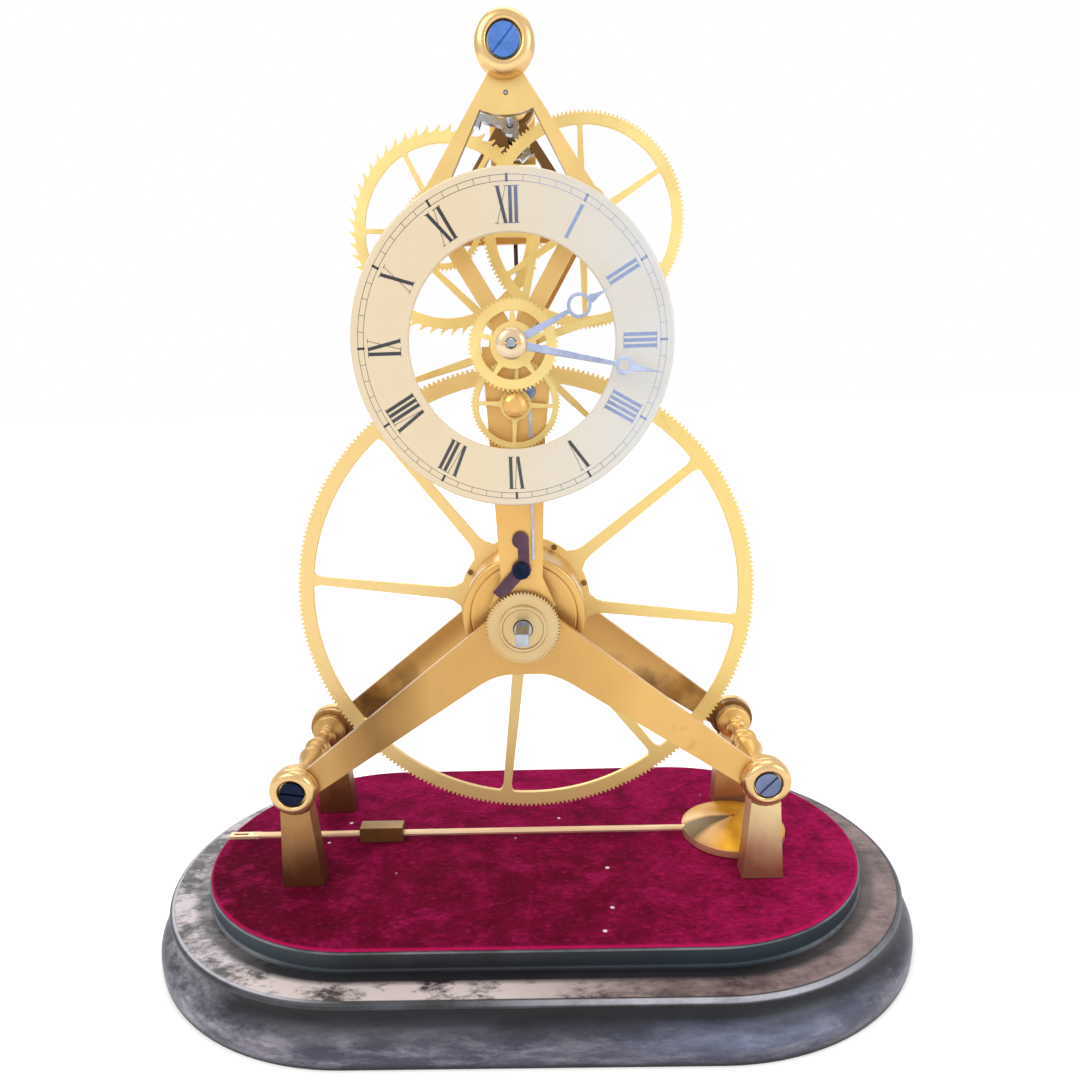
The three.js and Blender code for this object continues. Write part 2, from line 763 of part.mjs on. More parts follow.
// The outward direction along Y and the outer face of each plate
const ends = { front: [-1, frontFace], rear: [1, rearFace] };

function domePoints(at) {
  // Shares of the collar's radius and of its domed height above the straight rim
  const domeShares = [[1, 0], [0.93, 0.55], [0.7, 1]];
  return domeShares.map(([share, up]) => [
    collarRadius * share, at(collarRim + (collarDepth - collarRim) * up),
  ]);
}

function diagonalSlot(x, z, radius, y1, y2) {
  const slope = Math.SQRT1_2 * (radius + overrun);
  return bar(
    [x - slope, z - slope], screwSlotWidth, [x + slope, z + slope], screwSlotWidth,
    Math.min(y1, y2), Math.abs(y2 - y1),
  );
}

// In front, a recessed collar and a flush blued screw; behind, a domed screw in one piece
function buildCollarsAndScrews() {
  const bore = pillarScrewShank + fit;
  const tip = -plateThickness - pillarScrewReach;
  const recess = collarDepth - recessDepth;
  for (const [name, [x, z]] of Object.entries(pillarPlaces)) {
    const front = (distance) => frontFace - distance;
    addNode(`${name}_front_collar`, turned([
      [bore, front(0)], [collarRadius, front(0)], ...domePoints(front),
      [recessRadius, front(collarDepth - recessChamfer)], [recessRadius, front(recess)],
      [bore, front(recess)], [bore, front(0)],
    ], x, z, collarSegments), 'brass');

    const headTop = recess + pillarScrewHeadDepth;
    const screw = turned([
      [0, front(tip)], [pillarScrewShank, front(tip)], [pillarScrewShank, front(recess)],
      [pillarScrewHead, front(recess)], [pillarScrewHead, front(headTop - recessChamfer)],
      [pillarScrewHead - recessChamfer, front(headTop)], [0, front(headTop)],
    ], x, z);
    addNode(`${name}_front_screw`, screw.subtract(
      diagonalSlot(x, z, pillarScrewHead, front(headTop - screwSlotDepth), front(headTop + overrun)),
    ), 'bluedSteel');

    const rear = (distance) => rearFace + distance;
    const domed = turned([
      [0, rear(tip)], [pillarScrewShank, rear(tip)], [pillarScrewShank, rear(0)],
      [collarRadius, rear(0)], ...domePoints(rear), [0, rear(collarDepth)],
    ], x, z, collarSegments);
    addNode(`${name}_rear_screw`, domed.subtract(
      diagonalSlot(x, z, collarRadius, rear(collarDepth - screwSlotDepth), rear(collarDepth + overrun)),
    ), 'brass');
  }
}

// Wedge feet: a saddle clears the collar and the plate's round end, and an eye is clamped behind the plate
function buildFeet() {
  const bottom = velvetTop + fit;
  for (const [endName, [out, face]] of Object.entries(ends)) {
    const outer = face + out * footProud;
    const inner = face - out * plateThickness;
    const back = outer - out * footDepth;
    const slice = (y1, y2) => [Math.min(y1, y2), Math.abs(y2 - y1)];
    for (const side of [-1, 1]) {
      const x = side * pillarX;
      const wedge = slab(outline([
        [x - footWidthBottom / 2, bottom], [x + footWidthBottom / 2, bottom],
        [x + footWidthTop / 2, lowPillarZ], [x - footWidthTop / 2, lowPillarZ],
      ]), ...slice(outer, back));
      const [eyeFront, eyeDepth] = slice(inner, inner - out * footEyeThickness);
      const eye = rod(footEyeRadius, eyeFront, eyeFront + eyeDepth, x, lowPillarZ);
      const [cutFront, cutDepth] = slice(outer + out * overrun, inner);
      const saddle = rod(collarRadius + fit, cutFront, cutFront + cutDepth, x, lowPillarZ, roundSegments);
      const bore = hole(pillarScrewShank + fit, x, lowPillarZ, eyeFront, eyeFront + eyeDepth);
      const sideName = side < 0 ? 'left' : 'right';
      addNode(`${sideName}_${endName}_foot`, without(joined([wedge, eye]), [saddle, bore]), 'brass');
    }
  }
}

// The going barrel with its great wheel

function buildGreatWheel() {
  const gear = greatMesh.wheel;
  addNode('great_wheel', wheelSlab({
    x: 0,
    z: barrelZ,
    front: greatWheelFront,
    thickness: greatThickness,
    teethPoints: gearPoints(gear, quarterTurn),
    holes: windows({
      rimInner: gear.root - greatRimWidth,
      hub: greatHubRadius,
      spokes: greatSpokeCount,
      spokeHub: greatSpokeHub,
      spokeRim: greatSpokeRim,
      spokeAt: greatSpokeTurn * degree,
    }),
    bore: barrelArborRadius + play,
  }), 'wheelBrass');
}

function buildBarrel() {
  const back = greatWheelFront;
  const front = back - drumLength;
  const bore = barrelArborRadius + play;
  const inner = drumRadius - drumWall;
  addNode('barrel_drum', turned([
    [bore, front], [drumRadius - drumWall, front], [drumRadius, front + drumWall], [drumRadius, back],
    [inner, back], [inner, front + drumFrontWall], [bore, front + drumFrontWall], [bore, front],
  ], 0, barrelZ, roundSegments), 'brass');

  const springFront = front + drumFrontWall + shake;
  const strip = spiralStrip(barrelCoreRadius + springStrip, inner - springStrip);
  addNode('mainspring', slab(strip, springFront, springWidth), 'steel');

  const tip = frontFace - windingReach;
  const half = windingSquare / 2;
  const squareBack = frontFace - ratchetOffset - ratchetThickness - ratchetBossRise - shake;
  const squareStock = box(-half, half, tip, squareBack + windingSquare, barrelZ - half, barrelZ + half);
  const round = turned([
    [0, squareBack], [barrelArborRadius, squareBack],
    [barrelArborRadius, springFront], [barrelCoreRadius, springFront],
    [barrelCoreRadius, springFront + springWidth], [barrelArborRadius, springFront + springWidth],
    [barrelArborRadius, rearInner - shake], [barrelPivotRadius, rearInner - shake],
    [barrelPivotRadius, rearFace], [0, rearFace],
  ], 0, barrelZ);
  addNode('winding_arbor', joined([round, squareStock]), 'steel');
}

// A flat strip coiled from the inner radius to the outer one, as one closed outline
function spiralStrip(innerRadius, outerRadius) {
  const steps = springTurns * springStepsPerTurn;
  const centreLine = (i) => {
    const share = i / steps;
    return [innerRadius + (outerRadius - innerRadius) * share, share * springTurns * fullTurn];
  };
  const side = (offset) => Array.from({ length: steps + 1 }, (_, i) => {
    const [radius, angle] = centreLine(i);
    return [(radius + offset) * Math.cos(angle), barrelZ + (radius + offset) * Math.sin(angle)];
  });
  return outline([...side(-springStrip / 2), ...side(springStrip / 2).reverse()]);
}

function buildRatchetWork() {
  const back = frontFace - ratchetOffset;
  const front = back - ratchetThickness;
  const bore = barrelArborRadius + fit;
  const teethPoints = toothedShape(
    ratchetTeeth, ratchetRadius, ratchetRadius - ratchetToothDepth, 0, ratchetLeanShare,
  );
  const disc = wheelSlab({
    x: 0, z: barrelZ, front, thickness: ratchetThickness, teethPoints, holes: [], bore,
  });
  const bossFront = front - ratchetBossRise;
  const boss = turned([
    [bore, front + ratchetThickness / 2], [ratchetBossRadius, front + ratchetThickness / 2],
    [ratchetBossRadius, bossFront], [ratchetDishRadius, bossFront],
    [ratchetDishRadius, bossFront + ratchetDishDepth], [bore, bossFront + ratchetDishDepth],
    [bore, front + ratchetThickness / 2],
  ], 0, barrelZ);
  addNode('ratchet_wheel', joined([disc, boss]), 'brass');

  const [px, pz] = clickPivot;
  const clickFront = frontFace - fit - clickThickness;
  const disc2 = (radius, x, z) => rod(radius, clickFront, clickFront + clickThickness, x, z);
  const lobeZ = pz + clickLobeRise - clickLobeRadius;
  const waistX = px + clickWaistRight;
  const nose = [px - clickNoseLeft, barrelZ + clickNoseAbove];
  const click = joined([
    disc2(clickEyeRadius, px, pz),
    disc2(clickLobeRadius, px, lobeZ),
    bar([waistX, lobeZ], clickWaistWidth, [waistX, pz], clickWaistWidth, clickFront, clickThickness),
    bar([px, pz], clickTailWidth, nose, clickTailWidth, clickFront, clickThickness),
  ]);
  const toothCircle = rod(
    ratchetRadius + fit, clickFront - overrun, clickFront + clickThickness + overrun,
    0, barrelZ, ratchetTeeth,
  );
  addNode('click', without(click, [
    toothCircle,
    hole(clickScrewShank + fit, px, pz, clickFront, frontFace),
  ]), 'clickSteel');

  addNode('click_screw', slottedScrew(
    px, pz, clickScrewHead, clickScrewDepth, clickScrewShank, clickFront - fit, frontInner,
  ), 'bluedSteel');

  const springFront = frontFace - clickSpringThickness;
  const [sx, sz] = springScrewPlace;
  const tipPlace = [clickSpringTip, pz + clickEyeRadius];
  const spring = joined([
    rod(springScrewHead, springFront, springFront + clickSpringThickness, sx, sz),
    bar([sx, sz], clickSpringWidth, tipPlace, clickSpringWidth, springFront, clickSpringThickness),
  ]);
  addNode('click_spring', without(spring, [
    hole(springScrewShank + fit, sx, sz, springFront, frontFace),
  ]), 'steel');
  addNode('click_spring_screw', slottedScrew(
    sx, sz, springScrewHead, springScrewDepth, springScrewShank, springFront, frontInner,
  ), 'bluedSteel');
}

// A cheese-head screw driven from the front, from the back of its head to the end of its shank
function slottedScrew(x, z, headRadius, headDepth, shankRadius, headBack, shankEnd) {
  const top = headBack - headDepth;
  const chamfer = headDepth / 5;
  const screw = turned([
    [0, top], [headRadius - chamfer, top], [headRadius, top + chamfer], [headRadius, headBack],
    [shankRadius, headBack], [shankRadius, shankEnd], [0, shankEnd],
  ], x, z);
  const width = headRadius / 4;
  const reach = headRadius + overrun;
  const slot = box(x - reach, x + reach, top - overrun, top + headDepth / 3, z - width / 2, z + width / 2);
  return screw.subtract(slot);
}

// The going train

// An arbor with shouldered pivots, a pinion or none, and the wheel's collet
function arborProfile({ radius, pivot, front, back, frontPivotEnd, backPivotEnd, colletAt }) {
  const profile = [[0, frontPivotEnd], [pivot, frontPivotEnd], [pivot, front], [radius, front]];
  if (colletAt !== undefined) {
    profile.push([radius, colletAt], [wheelColletRadius, colletAt]);
    profile.push([wheelColletRadius, colletAt + wheelColletLength], [radius, colletAt + wheelColletLength]);
  }
  profile.push([radius, back], [pivot, back], [pivot, backPivotEnd], [0, backPivotEnd]);
  return profile;
}

function trainWheel(name, gear, x, z, front, options) {
  addNode(name, wheelSlab({
    x,
    z,
    front,
    thickness: trainWheelThickness,
    teethPoints: options.points,
    holes: windows({
      rimInner: gear.tip - options.rimWidth,
      hub: options.hub,
      spokes: trainSpokeCount,
      spokeHub: trainSpokeHub,
      spokeRim: trainSpokeRim,
      spokeAt: options.spokeTurn * degree,
    }),
    bore: options.bore,
  }), 'wheelBrass');
}

function pinionSolid(gear, points, x, z, wheelFront, wheelThickness) {
  return wheelSlab({
    x,
    z,
    front: wheelFront - pinionOverlap,
    thickness: wheelThickness + 2 * pinionOverlap,
    teethPoints: points,
    holes: [],
    bore: trainPivotRadius / 2,
  });
}

function buildTrain() {
  const innerFront = frontInner + shake;
  const innerBack = rearInner - shake;
  const centrePinion = pinionSolid(
    greatMesh.pinion, partnerPoints(greatMesh.pinion, -quarterTurn),
    0, centreZ, greatWheelFront, greatThickness,
  );
  const centreCollet = centreWheelFront + trainWheelThickness + fit;
  const centreArbor = turned(arborProfile({
    radius: centreArborRadius,
    pivot: trainPivotRadius,
    front: handEnd + trainPivotRadius,
    back: innerBack,
    frontPivotEnd: handEnd,
    backPivotEnd: rearFace,
    colletAt: centreCollet,
  }), 0, centreZ, smallSegments);
  const pinHole = turnedX([
    [0, -handPinLength], [handPinRadius + fit / 2, -handPinLength],
    [handPinRadius + fit / 2, handPinLength], [0, handPinLength],
  ], handPinY, centreZ, smallSegments);
  addNode('centre_arbor', joined([centreArbor, centrePinion]).subtract(pinHole), 'steel');
  trainWheel('centre_wheel', thirdMesh.wheel, 0, centreZ, centreWheelFront, {
    points: gearPoints(thirdMesh.wheel, thirdDirection),
    rimWidth: centreRimWidth,
    hub: centreHubRadius,
    spokeTurn: centreSpokeTurn,
    bore: centreArborRadius + fit,
  });

  const thirdPinion = pinionSolid(
    thirdMesh.pinion, partnerPoints(thirdMesh.pinion, thirdDirection + Math.PI), upperX, upperZ,
    centreWheelFront, trainWheelThickness,
  );
  const thirdArbor = turned(arborProfile({
    radius: thirdArborRadius,
    pivot: trainPivotRadius,
    front: innerFront,
    back: innerBack,
    frontPivotEnd: frontFace,
    backPivotEnd: rearFace,
    colletAt: thirdWheelFront + trainWheelThickness + fit,
  }), upperX, upperZ, smallSegments);
  addNode('third_arbor', joined([thirdArbor, thirdPinion]), 'steel');
  trainWheel('third_wheel', escapeMesh.wheel, upperX, upperZ, thirdWheelFront, {
    points: gearPoints(escapeMesh.wheel, Math.PI),
    rimWidth: thirdRimWidth,
    hub: thirdHubRadius,
    spokeTurn: thirdSpokeTurn,
    bore: thirdArborRadius + fit,
  });

  const escapeArbor = turned(arborProfile({
    radius: escapeArborRadius,
    pivot: trainPivotRadius,
    front: innerFront,
    back: innerBack,
    frontPivotEnd: frontFace,
    backPivotEnd: rearFace,
    colletAt: escapeWheelFront + trainWheelThickness + fit,
  }), -upperX, upperZ, smallSegments);
  addNode('escape_arbor', escapeArbor, 'steel');
  trainWheel('escape_driven_wheel', escapeMesh.pinion, -upperX, upperZ, thirdWheelFront, {
    points: partnerPoints(escapeMesh.pinion, 0),
    rimWidth: driverRimWidth,
    hub: driverHubRadius,
    spokeTurn: driverSpokeTurn,
    bore: escapeArborRadius + fit,
  });
  const escapeGear = { teeth: escapeTeeth, tip: escapeRadius, root: escapeRadius - escapeToothDepth };
  trainWheel('escape_wheel', escapeGear, -upperX, upperZ, escapeWheelFront, {
    points: toothedShape(escapeTeeth, escapeRadius, escapeGear.root, 0, escapeLeanShare),
    rimWidth: escapeRimWidth + escapeToothDepth,
    hub: escapeHubRadius,
    spokeTurn: escapeSpokeTurn,
    bore: escapeArborRadius + fit,
  });
}

// Motion work, dial and hands

function motionWheel(gear, points, x, z, front, options) {
  return wheelSlab({
    x,
    z,
    front,
    thickness: motionWheelThickness,
    teethPoints: points,
    holes: windows({
      rimInner: gear.tip - options.rimWidth,
      hub: options.hub,
      spokes: options.spokes,
      spokeHub: motionSpokeHub,
      spokeRim: motionSpokeRim,
      spokeAt: options.spokeTurn * degree,
    }),
    bore: options.bore,
  });
}

// A pipe round an arbor
function pipe(inner, outer, front, back, x, z, segments = smallSegments) {
  const profile = [[inner, front], [outer, front], [outer, back], [inner, back], [inner, front]];
  return turned(profile, x, z, segments);
}

function buildMotionWork() {
  const [studX, studZ] = minuteStudPlace;
  const cannonBore = centreArborRadius + fit;
  const cannonFront = minuteWheelFront - pinionSideOverlap;
  const cannonBack = minuteWheelFront + motionWheelThickness + pinionSideOverlap;
  const cannonLeavesSolid = wheelSlab({
    x: 0,
    z: centreZ,
    front: cannonFront,
    thickness: cannonBack - cannonFront,
    teethPoints: partnerPoints(minuteMesh.pinion, -quarterTurn),
    holes: [],
    bore: cannonPipeRadius - fit,
  });
  addNode('cannon_pinion', joined([
    cannonLeavesSolid,
    pipe(cannonBore, cannonPipeRadius, minuteHandFront, frontFace - shake, 0, centreZ),
  ]), 'steel');

  const seatRadius = minuteStudRadius + play + minutePipeWall;
  addNode('minute_wheel', motionWheel(
    minuteMesh.wheel, gearPoints(minuteMesh.wheel, quarterTurn), studX, studZ, minuteWheelFront, {
      rimWidth: minuteRimWidth,
      hub: minuteHubRadius,
      spokes: minuteSpokeCount,
      spokeTurn: minuteSpokeTurn,
      bore: seatRadius + fit,
    },
  ), 'wheelBrass');
  const pinionFront = hourWheelFront - pinionSideOverlap;
  const minuteLeaves = wheelSlab({
    x: studX,
    z: studZ,
    front: pinionFront,
    thickness: minuteWheelFront - pinionFront,
    teethPoints: gearPoints(hourMesh.pinion, quarterTurn),
    holes: [],
    bore: minuteStudRadius + play,
  });
  addNode('minute_pinion', joined([
    minuteLeaves,
    pipe(
      minuteStudRadius + play, seatRadius, minuteWheelFront - motionWheelThickness, frontFace - shake,
      studX, studZ,
    ),
  ]), 'brass');
  addNode('minute_wheel_stud', joined([
    rod(minuteStudRadius, pinionFront - shake - minuteColletDepth / 2, frontInner, studX, studZ),
    domedHead(minuteColletRadius, pinionFront - shake, minuteColletDepth, studX, studZ),
  ]), 'brass');

  const hourBore = cannonPipeRadius + play;
  addNode('hour_wheel', joined([
    motionWheel(
      hourMesh.wheel, partnerPoints(hourMesh.wheel, -quarterTurn), 0, centreZ, hourWheelFront, {
        rimWidth: hourRimWidth,
        hub: hourHubRadius,
        spokes: hourSpokeCount,
        spokeTurn: hourSpokeTurn,
        bore: hourBore,
      },
    ),
    pipe(hourBore, hourPipeRadius, hourHandFront, hourWheelFront + motionWheelThickness, 0, centreZ),
  ]), 'brass');
}

// Shares of a small dome's radius and of its depth, from the rim to the middle
const smallDomeShares = [[1, 0], [1, 0.35], [0.86, 0.72], [0.55, 0.95]];

function domedHead(radius, back, depth, x, z) {
  const dome = smallDomeShares.map(([out, up]) => [radius * out, back - depth * up]);
  return turned([[0, back], ...dome, [0, back - depth]], x, z);
}

function domedCollet(bore, radius, back, depth, x, z) {
  const dome = smallDomeShares.map(([out, up]) => [bore + (radius - bore) * out, back - depth * up]);
  return turned([[bore, back], ...dome, [bore, back - depth], [bore, back]], x, z);
}

function buildDial() {
  const back = dialFront + dialThickness;
  addNode('chapter_ring', turned([
    [dialOpening, back], [dialRadius, back], [dialRadius, dialFront + dialBevel],
    [dialRadius - dialBevel, dialFront], [dialOpening, dialFront], [dialOpening, back],
  ], 0, centreZ, dialSegments), 'dial');
  for (const [name, [x, z]] of Object.entries(dialPostPlaces)) {
    addNode(`${name}_dial_post`, turned([
      [0, back], [dialPostRadius, back], [dialPostRadius, frontFace],
      [dialSpigotRadius, frontFace], [dialSpigotRadius, frontFace + dialSpigotTail],
      [0, frontFace + dialSpigotTail],
    ], x, z), 'brass');
  }
}

// A hand that points at the given angle: an eye, a tapered bar, an open ring and a point
function handSolid({ front, bore, eye, ringAt, ringRadius, length, turn }) {
  const angle = quarterTurn - turn * degree;
  const place = (distance) => [distance * Math.cos(angle), centreZ + distance * Math.sin(angle)];
  const back = front + handThickness;
  const flat = (radius, [x, z]) => rod(radius, front, back, x, z);
  const barEnd = ringAt - ringRadius + handRingWidth / 2;
  const pointFoot = ringAt + ringRadius - handRingWidth / 2;
  const pointTip = handWidthTip * handPointShare;
  return without(joined([
    flat(eye, place(0)),
    bar(place(0), handWidthRoot, place(barEnd), handWidthTip, front, handThickness),
    flat(ringRadius, place(ringAt)),
    bar(place(pointFoot), handWidthTip * 2, place(length), pointTip, front, handThickness),
  ]), [
    hole(bore, 0, centreZ, front, back),
    hole(ringRadius - handRingWidth, ...place(ringAt), front, back),
  ]);
}

function buildHands() {
  addNode('hour_hand', handSolid({
    front: hourHandFront,
    bore: hourPipeRadius + fit,
    eye: hourEyeRadius,
    ringAt: hourRingAt,
    ringRadius: hourRingRadius,
    length: hourHandLength,
    turn: hourHandAngle,
  }), 'steel');
  addNode('minute_hand', handSolid({
    front: minuteHandFront,
    bore: cannonPipeRadius + fit,
    eye: minuteEyeRadius,
    ringAt: minuteRingAt,
    ringRadius: minuteRingRadius,
    length: minuteHandLength,
    turn: minuteHandAngle,
  }), 'steel');
  addNode('hand_collet', domedCollet(
    centreArborRadius + fit, handColletRadius, minuteHandFront, handColletDepth, 0, centreZ,
  ), 'brass');
  addNode('hand_pin', turnedX([
    [0, -handPinLength / 2], [handPinRadius, -handPinLength / 2],
    [handPinRadius, handPinLength / 2], [0, handPinLength / 2],
  ], handPinY, centreZ, smallSegments), 'brass');
}

// Escapement, crutch and suspension

function buildEscapement() {
  const lineAngle = Math.atan2(palletZ - upperZ, upperX);
  const half = (anchorSpanTeeth / 2) * (fullTurn / escapeTeeth);
  const front = escapeWheelFront + trainWheelThickness / 2 - anchorThickness / 2;
  const polar = (radius, angle) => [-upperX + radius * Math.cos(angle), upperZ + radius * Math.sin(angle)];
  const inner = escapeRadius + palletClear;
  const outer = inner + palletHeight;
  const pieces = [rod(anchorColletRadius, front, front + anchorThickness, 0, palletZ)];
  for (const angle of [lineAngle - half, lineAngle + half]) {
    const foot = polar(inner, angle);
    const head = polar(outer, angle);
    pieces.push(bar(foot, palletWidth, head, palletWidth, front, anchorThickness));
    const shoulder = polar(outer - palletWidth / 2, angle);
    pieces.push(bar(shoulder, anchorArmWidth, [0, palletZ], anchorArmWidth, front, anchorThickness));
  }
  const bore = palletArborRadius + fit;
  addNode('anchor', joined(pieces).subtract(hole(bore, 0, palletZ, front, front + anchorThickness)), 'steel');

  addNode('pallet_arbor', turned([
    [0, frontFace], [trainPivotRadius, frontFace], [trainPivotRadius, frontInner + shake],
    [palletArborRadius, frontInner + shake], [palletArborRadius, cockFront - shake],
    [trainPivotRadius, cockFront - shake], [trainPivotRadius, cockBack], [0, cockBack],
  ], 0, palletZ, smallSegments), 'steel');

  const crutchBack = crutchFront + crutchThickness;
  const pinEnd = cockBack + suspensionStudLength;
  const crutchFoot = [0, palletZ - crutchLength];
  addNode('crutch', joined([
    rod(crutchColletRadius, crutchFront, crutchBack, 0, palletZ),
    bar([0, palletZ], crutchWidth, crutchFoot, crutchWidth, crutchFront, crutchThickness),
    rod(crutchPinRadius, crutchFront, pinEnd, 0, palletZ - crutchLength + crutchPinRadius, smallSegments),
  ]).subtract(hole(bore, 0, palletZ, crutchFront, crutchBack)), 'clickSteel');
}

function buildSuspension() {
  const studZ = palletZ + suspensionStudRise;
  addNode('suspension_cock', joined([
    box(-cockWidth / 2, cockWidth / 2, cockFront, cockBack, palletZ - cockBelow, palletZ + cockAbove),
    ...cockPostPlaces.map(([x, z]) => turned([
      [0, rearInner], [cockSpigotRadius, rearInner], [cockSpigotRadius, rearFace], [cockPostRadius, rearFace],
      [cockPostRadius, cockBack - cockThickness / 2], [0, cockBack - cockThickness / 2],
    ], x, z)),
    rod(suspensionStudRadius, cockFront + cockThickness / 2, cockBack + suspensionStudLength, 0, studZ),
  ]).subtract(hole(trainPivotRadius + play, 0, palletZ, cockFront, cockBack)), 'brass');

  const middle = cockBack + suspensionStudLength / 2;
  const chop = (z) => box(
    -chopWidth / 2, chopWidth / 2, middle - chopDepth / 2, middle + chopDepth / 2,
    z - chopHeight / 2, z + chopHeight / 2,
  );
  const lowZ = studZ - chopHeight - suspensionFree;
  const pinHalf = suspensionStudLength / 3;
  addNode('suspension_spring', joined([
    chop(studZ).subtract(hole(suspensionStudRadius + fit, 0, studZ, middle - chopDepth, middle + chopDepth)),
    box(
      -suspensionStripWidth / 2, suspensionStripWidth / 2,
      middle - suspensionStrip / 2, middle + suspensionStrip / 2,
      lowZ, studZ - suspensionStudRadius - fit * 2,
    ),
    chop(lowZ),
    rod(trainPivotRadius, middle - pinHalf, middle + pinHalf, 0, lowZ, smallSegments),
  ]), 'steel');
}

// The pendulum, lying along X

function buildPendulum() {
  const bore = rodRadius + fit;
  const tip = bobCentre - pendulumHookTip;
  const hookEnd = tip + hookLength;
  const nutLeft = bobCentre + nutFromBob;
  const nutRight = nutLeft + nutThickness;
  const rodEnd = nutRight + nutSlotRoom + rodTail;
  // Shares of the bob's radius and of its rise from the straight rim to the middle
  const lensShares = [[1, 0], [0.85, 0.36], [0.5, 0.86], [0, 1]];
  const lens = lensShares.map(([out, up]) => [
    bobRadius * out, pendulumBottom + bobEdge + (bobThickness - bobEdge) * up,
  ]);
  const profile = [[0, pendulumBottom], [bobRadius, pendulumBottom], ...lens];
  const boreAlong = (from, to) => turnedX(
    [[0, from], [bore, from], [bore, to], [0, to]], pendulumY, pendulumZ, smallSegments,
  );
  const slotHalf = nutRadius + nutSlotSide;
  const nutSlot = box(
    nutLeft - nutSlotRoom, nutRight + nutSlotRoom, pendulumY - slotHalf, pendulumY + slotHalf,
    pendulumBottom - overrun, pendulumZ + slotHalf,
  );
  addNode('pendulum_bob', without(turnedZ(profile, bobCentre, pendulumY, roundSegments), [
    boreAlong(bobCentre - bobRadius - overrun, rodEnd + fit), nutSlot,
  ]), 'brass');

  const blockLeft = bobCentre - slideBlockFromBob - slideBlockLength / 2;
  const blockHalf = slideBlockSize / 2;
  addNode('pendulum_block', box(
    blockLeft, blockLeft + slideBlockLength, pendulumY - blockHalf, pendulumY + blockHalf,
    pendulumBottom, pendulumBottom + slideBlockSize,
  ).subtract(boreAlong(blockLeft - overrun, blockLeft + slideBlockLength + overrun)), 'brass');

  const hook = box(
    tip, hookEnd, pendulumY - hookWidth / 2, pendulumY + hookWidth / 2,
    pendulumZ - hookThickness / 2, pendulumZ + hookThickness / 2,
  );
  const slot = box(
    tip + hookWallLength, tip + hookWallLength + hookSlotLength,
    pendulumY - hookSlotWidth / 2, pendulumY + hookSlotWidth / 2, pendulumZ - overrun, pendulumZ + overrun,
  );
  const shaft = turnedX([
    [0, hookEnd - rodRadius * 2], [rodRadius, hookEnd - rodRadius * 2], [rodRadius, rodEnd], [0, rodEnd],
  ], pendulumY, pendulumZ, smallSegments);
  addNode('pendulum_rod', joined([hook.subtract(slot), shaft]), 'steel');

  addNode('rating_nut', turnedX([
    [bore, nutLeft], [nutRadius, nutLeft], [nutRadius, nutRight], [bore, nutRight], [bore, nutLeft],
  ], pendulumY, pendulumZ), 'brass');
}

buildStand();
buildPlates();
buildPillars();
buildCollarsAndScrews();
buildFeet();
buildGreatWheel();
buildBarrel();
buildRatchetWork();
buildTrain();
buildMotionWork();
buildDial();
buildHands();
buildEscapement();
buildSuspension();
buildPendulum();

export default clock;
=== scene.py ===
"""Skeleton clock on an oval ebonised stand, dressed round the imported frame.

Shapes are worked out in millimetres: X to the right of the dial, Y to the back, Z up.
"""
import json
import math
from typing import NamedTuple

import bmesh
import bpy
from mathutils import Matrix, Vector


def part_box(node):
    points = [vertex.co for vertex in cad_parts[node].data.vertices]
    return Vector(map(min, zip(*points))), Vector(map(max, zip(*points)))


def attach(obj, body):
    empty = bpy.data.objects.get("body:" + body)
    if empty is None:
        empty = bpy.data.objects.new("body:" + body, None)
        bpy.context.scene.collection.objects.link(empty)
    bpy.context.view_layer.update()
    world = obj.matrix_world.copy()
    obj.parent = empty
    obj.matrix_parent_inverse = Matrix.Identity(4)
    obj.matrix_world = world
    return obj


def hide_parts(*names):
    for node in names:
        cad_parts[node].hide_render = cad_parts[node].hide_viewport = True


bl_info = {
    "name": "Skeleton Clock",
    "version": (1, 0, 0),
    "blender": (4, 5, 0),
    "location": "View3D > Sidebar > Skeleton Clock",
    "description": "Dresses a skeleton clock: stand, plates, train, dial, hands and pendulum",
    "category": "Object",
}

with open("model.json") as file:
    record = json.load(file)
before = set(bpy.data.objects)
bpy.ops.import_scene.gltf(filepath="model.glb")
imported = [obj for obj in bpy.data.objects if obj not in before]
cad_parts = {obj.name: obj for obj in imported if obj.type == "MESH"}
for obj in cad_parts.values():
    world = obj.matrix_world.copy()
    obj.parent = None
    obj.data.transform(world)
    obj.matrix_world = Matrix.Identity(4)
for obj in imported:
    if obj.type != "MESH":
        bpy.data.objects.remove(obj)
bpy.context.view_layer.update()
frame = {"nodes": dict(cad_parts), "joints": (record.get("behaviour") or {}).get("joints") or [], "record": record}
NODES = frame["nodes"]
JOINTS = {joint["name"]: joint for joint in frame["joints"]}
BODY_OF = {node: body for body, nodes in frame["record"]["behaviour"]["bodies"].items() for node in nodes}

METRES = 0.001  # metres in a millimetre
FULL_TURN = 2 * math.pi
QUARTER_TURN = math.pi / 2
AXES = {"X": Vector((1, 0, 0)), "Y": Vector((0, 1, 0)), "Z": Vector((0, 0, 1))}
RADIAL = {"X": Vector((0, 0, 1)), "Y": Vector((1, 0, 0)), "Z": Vector((1, 0, 0))}


def tone(text):
    """A linear colour from its usual hexadecimal form"""
    parts = [int(text[i:i + 2], 16) / 255 for i in (0, 2, 4)]
    return tuple(c / 12.92 if c <= 0.04045 else ((c + 0.055) / 1.055) ** 2.4 for c in parts)


HALF_STRAIGHT = 72.3  # half the stand's straight sides
ARM_TOP = (5.15, 353.4)  # where an upper arm's middle line starts: across and up
ARM_SPREAD = 0.595  # how far the arms spread for each millimetre down


# Settings

def colour_setting(name, description, text):
    return bpy.props.FloatVectorProperty(
        name=name, description=description, subtype="COLOR", size=3, min=0, max=1, default=tone(text))


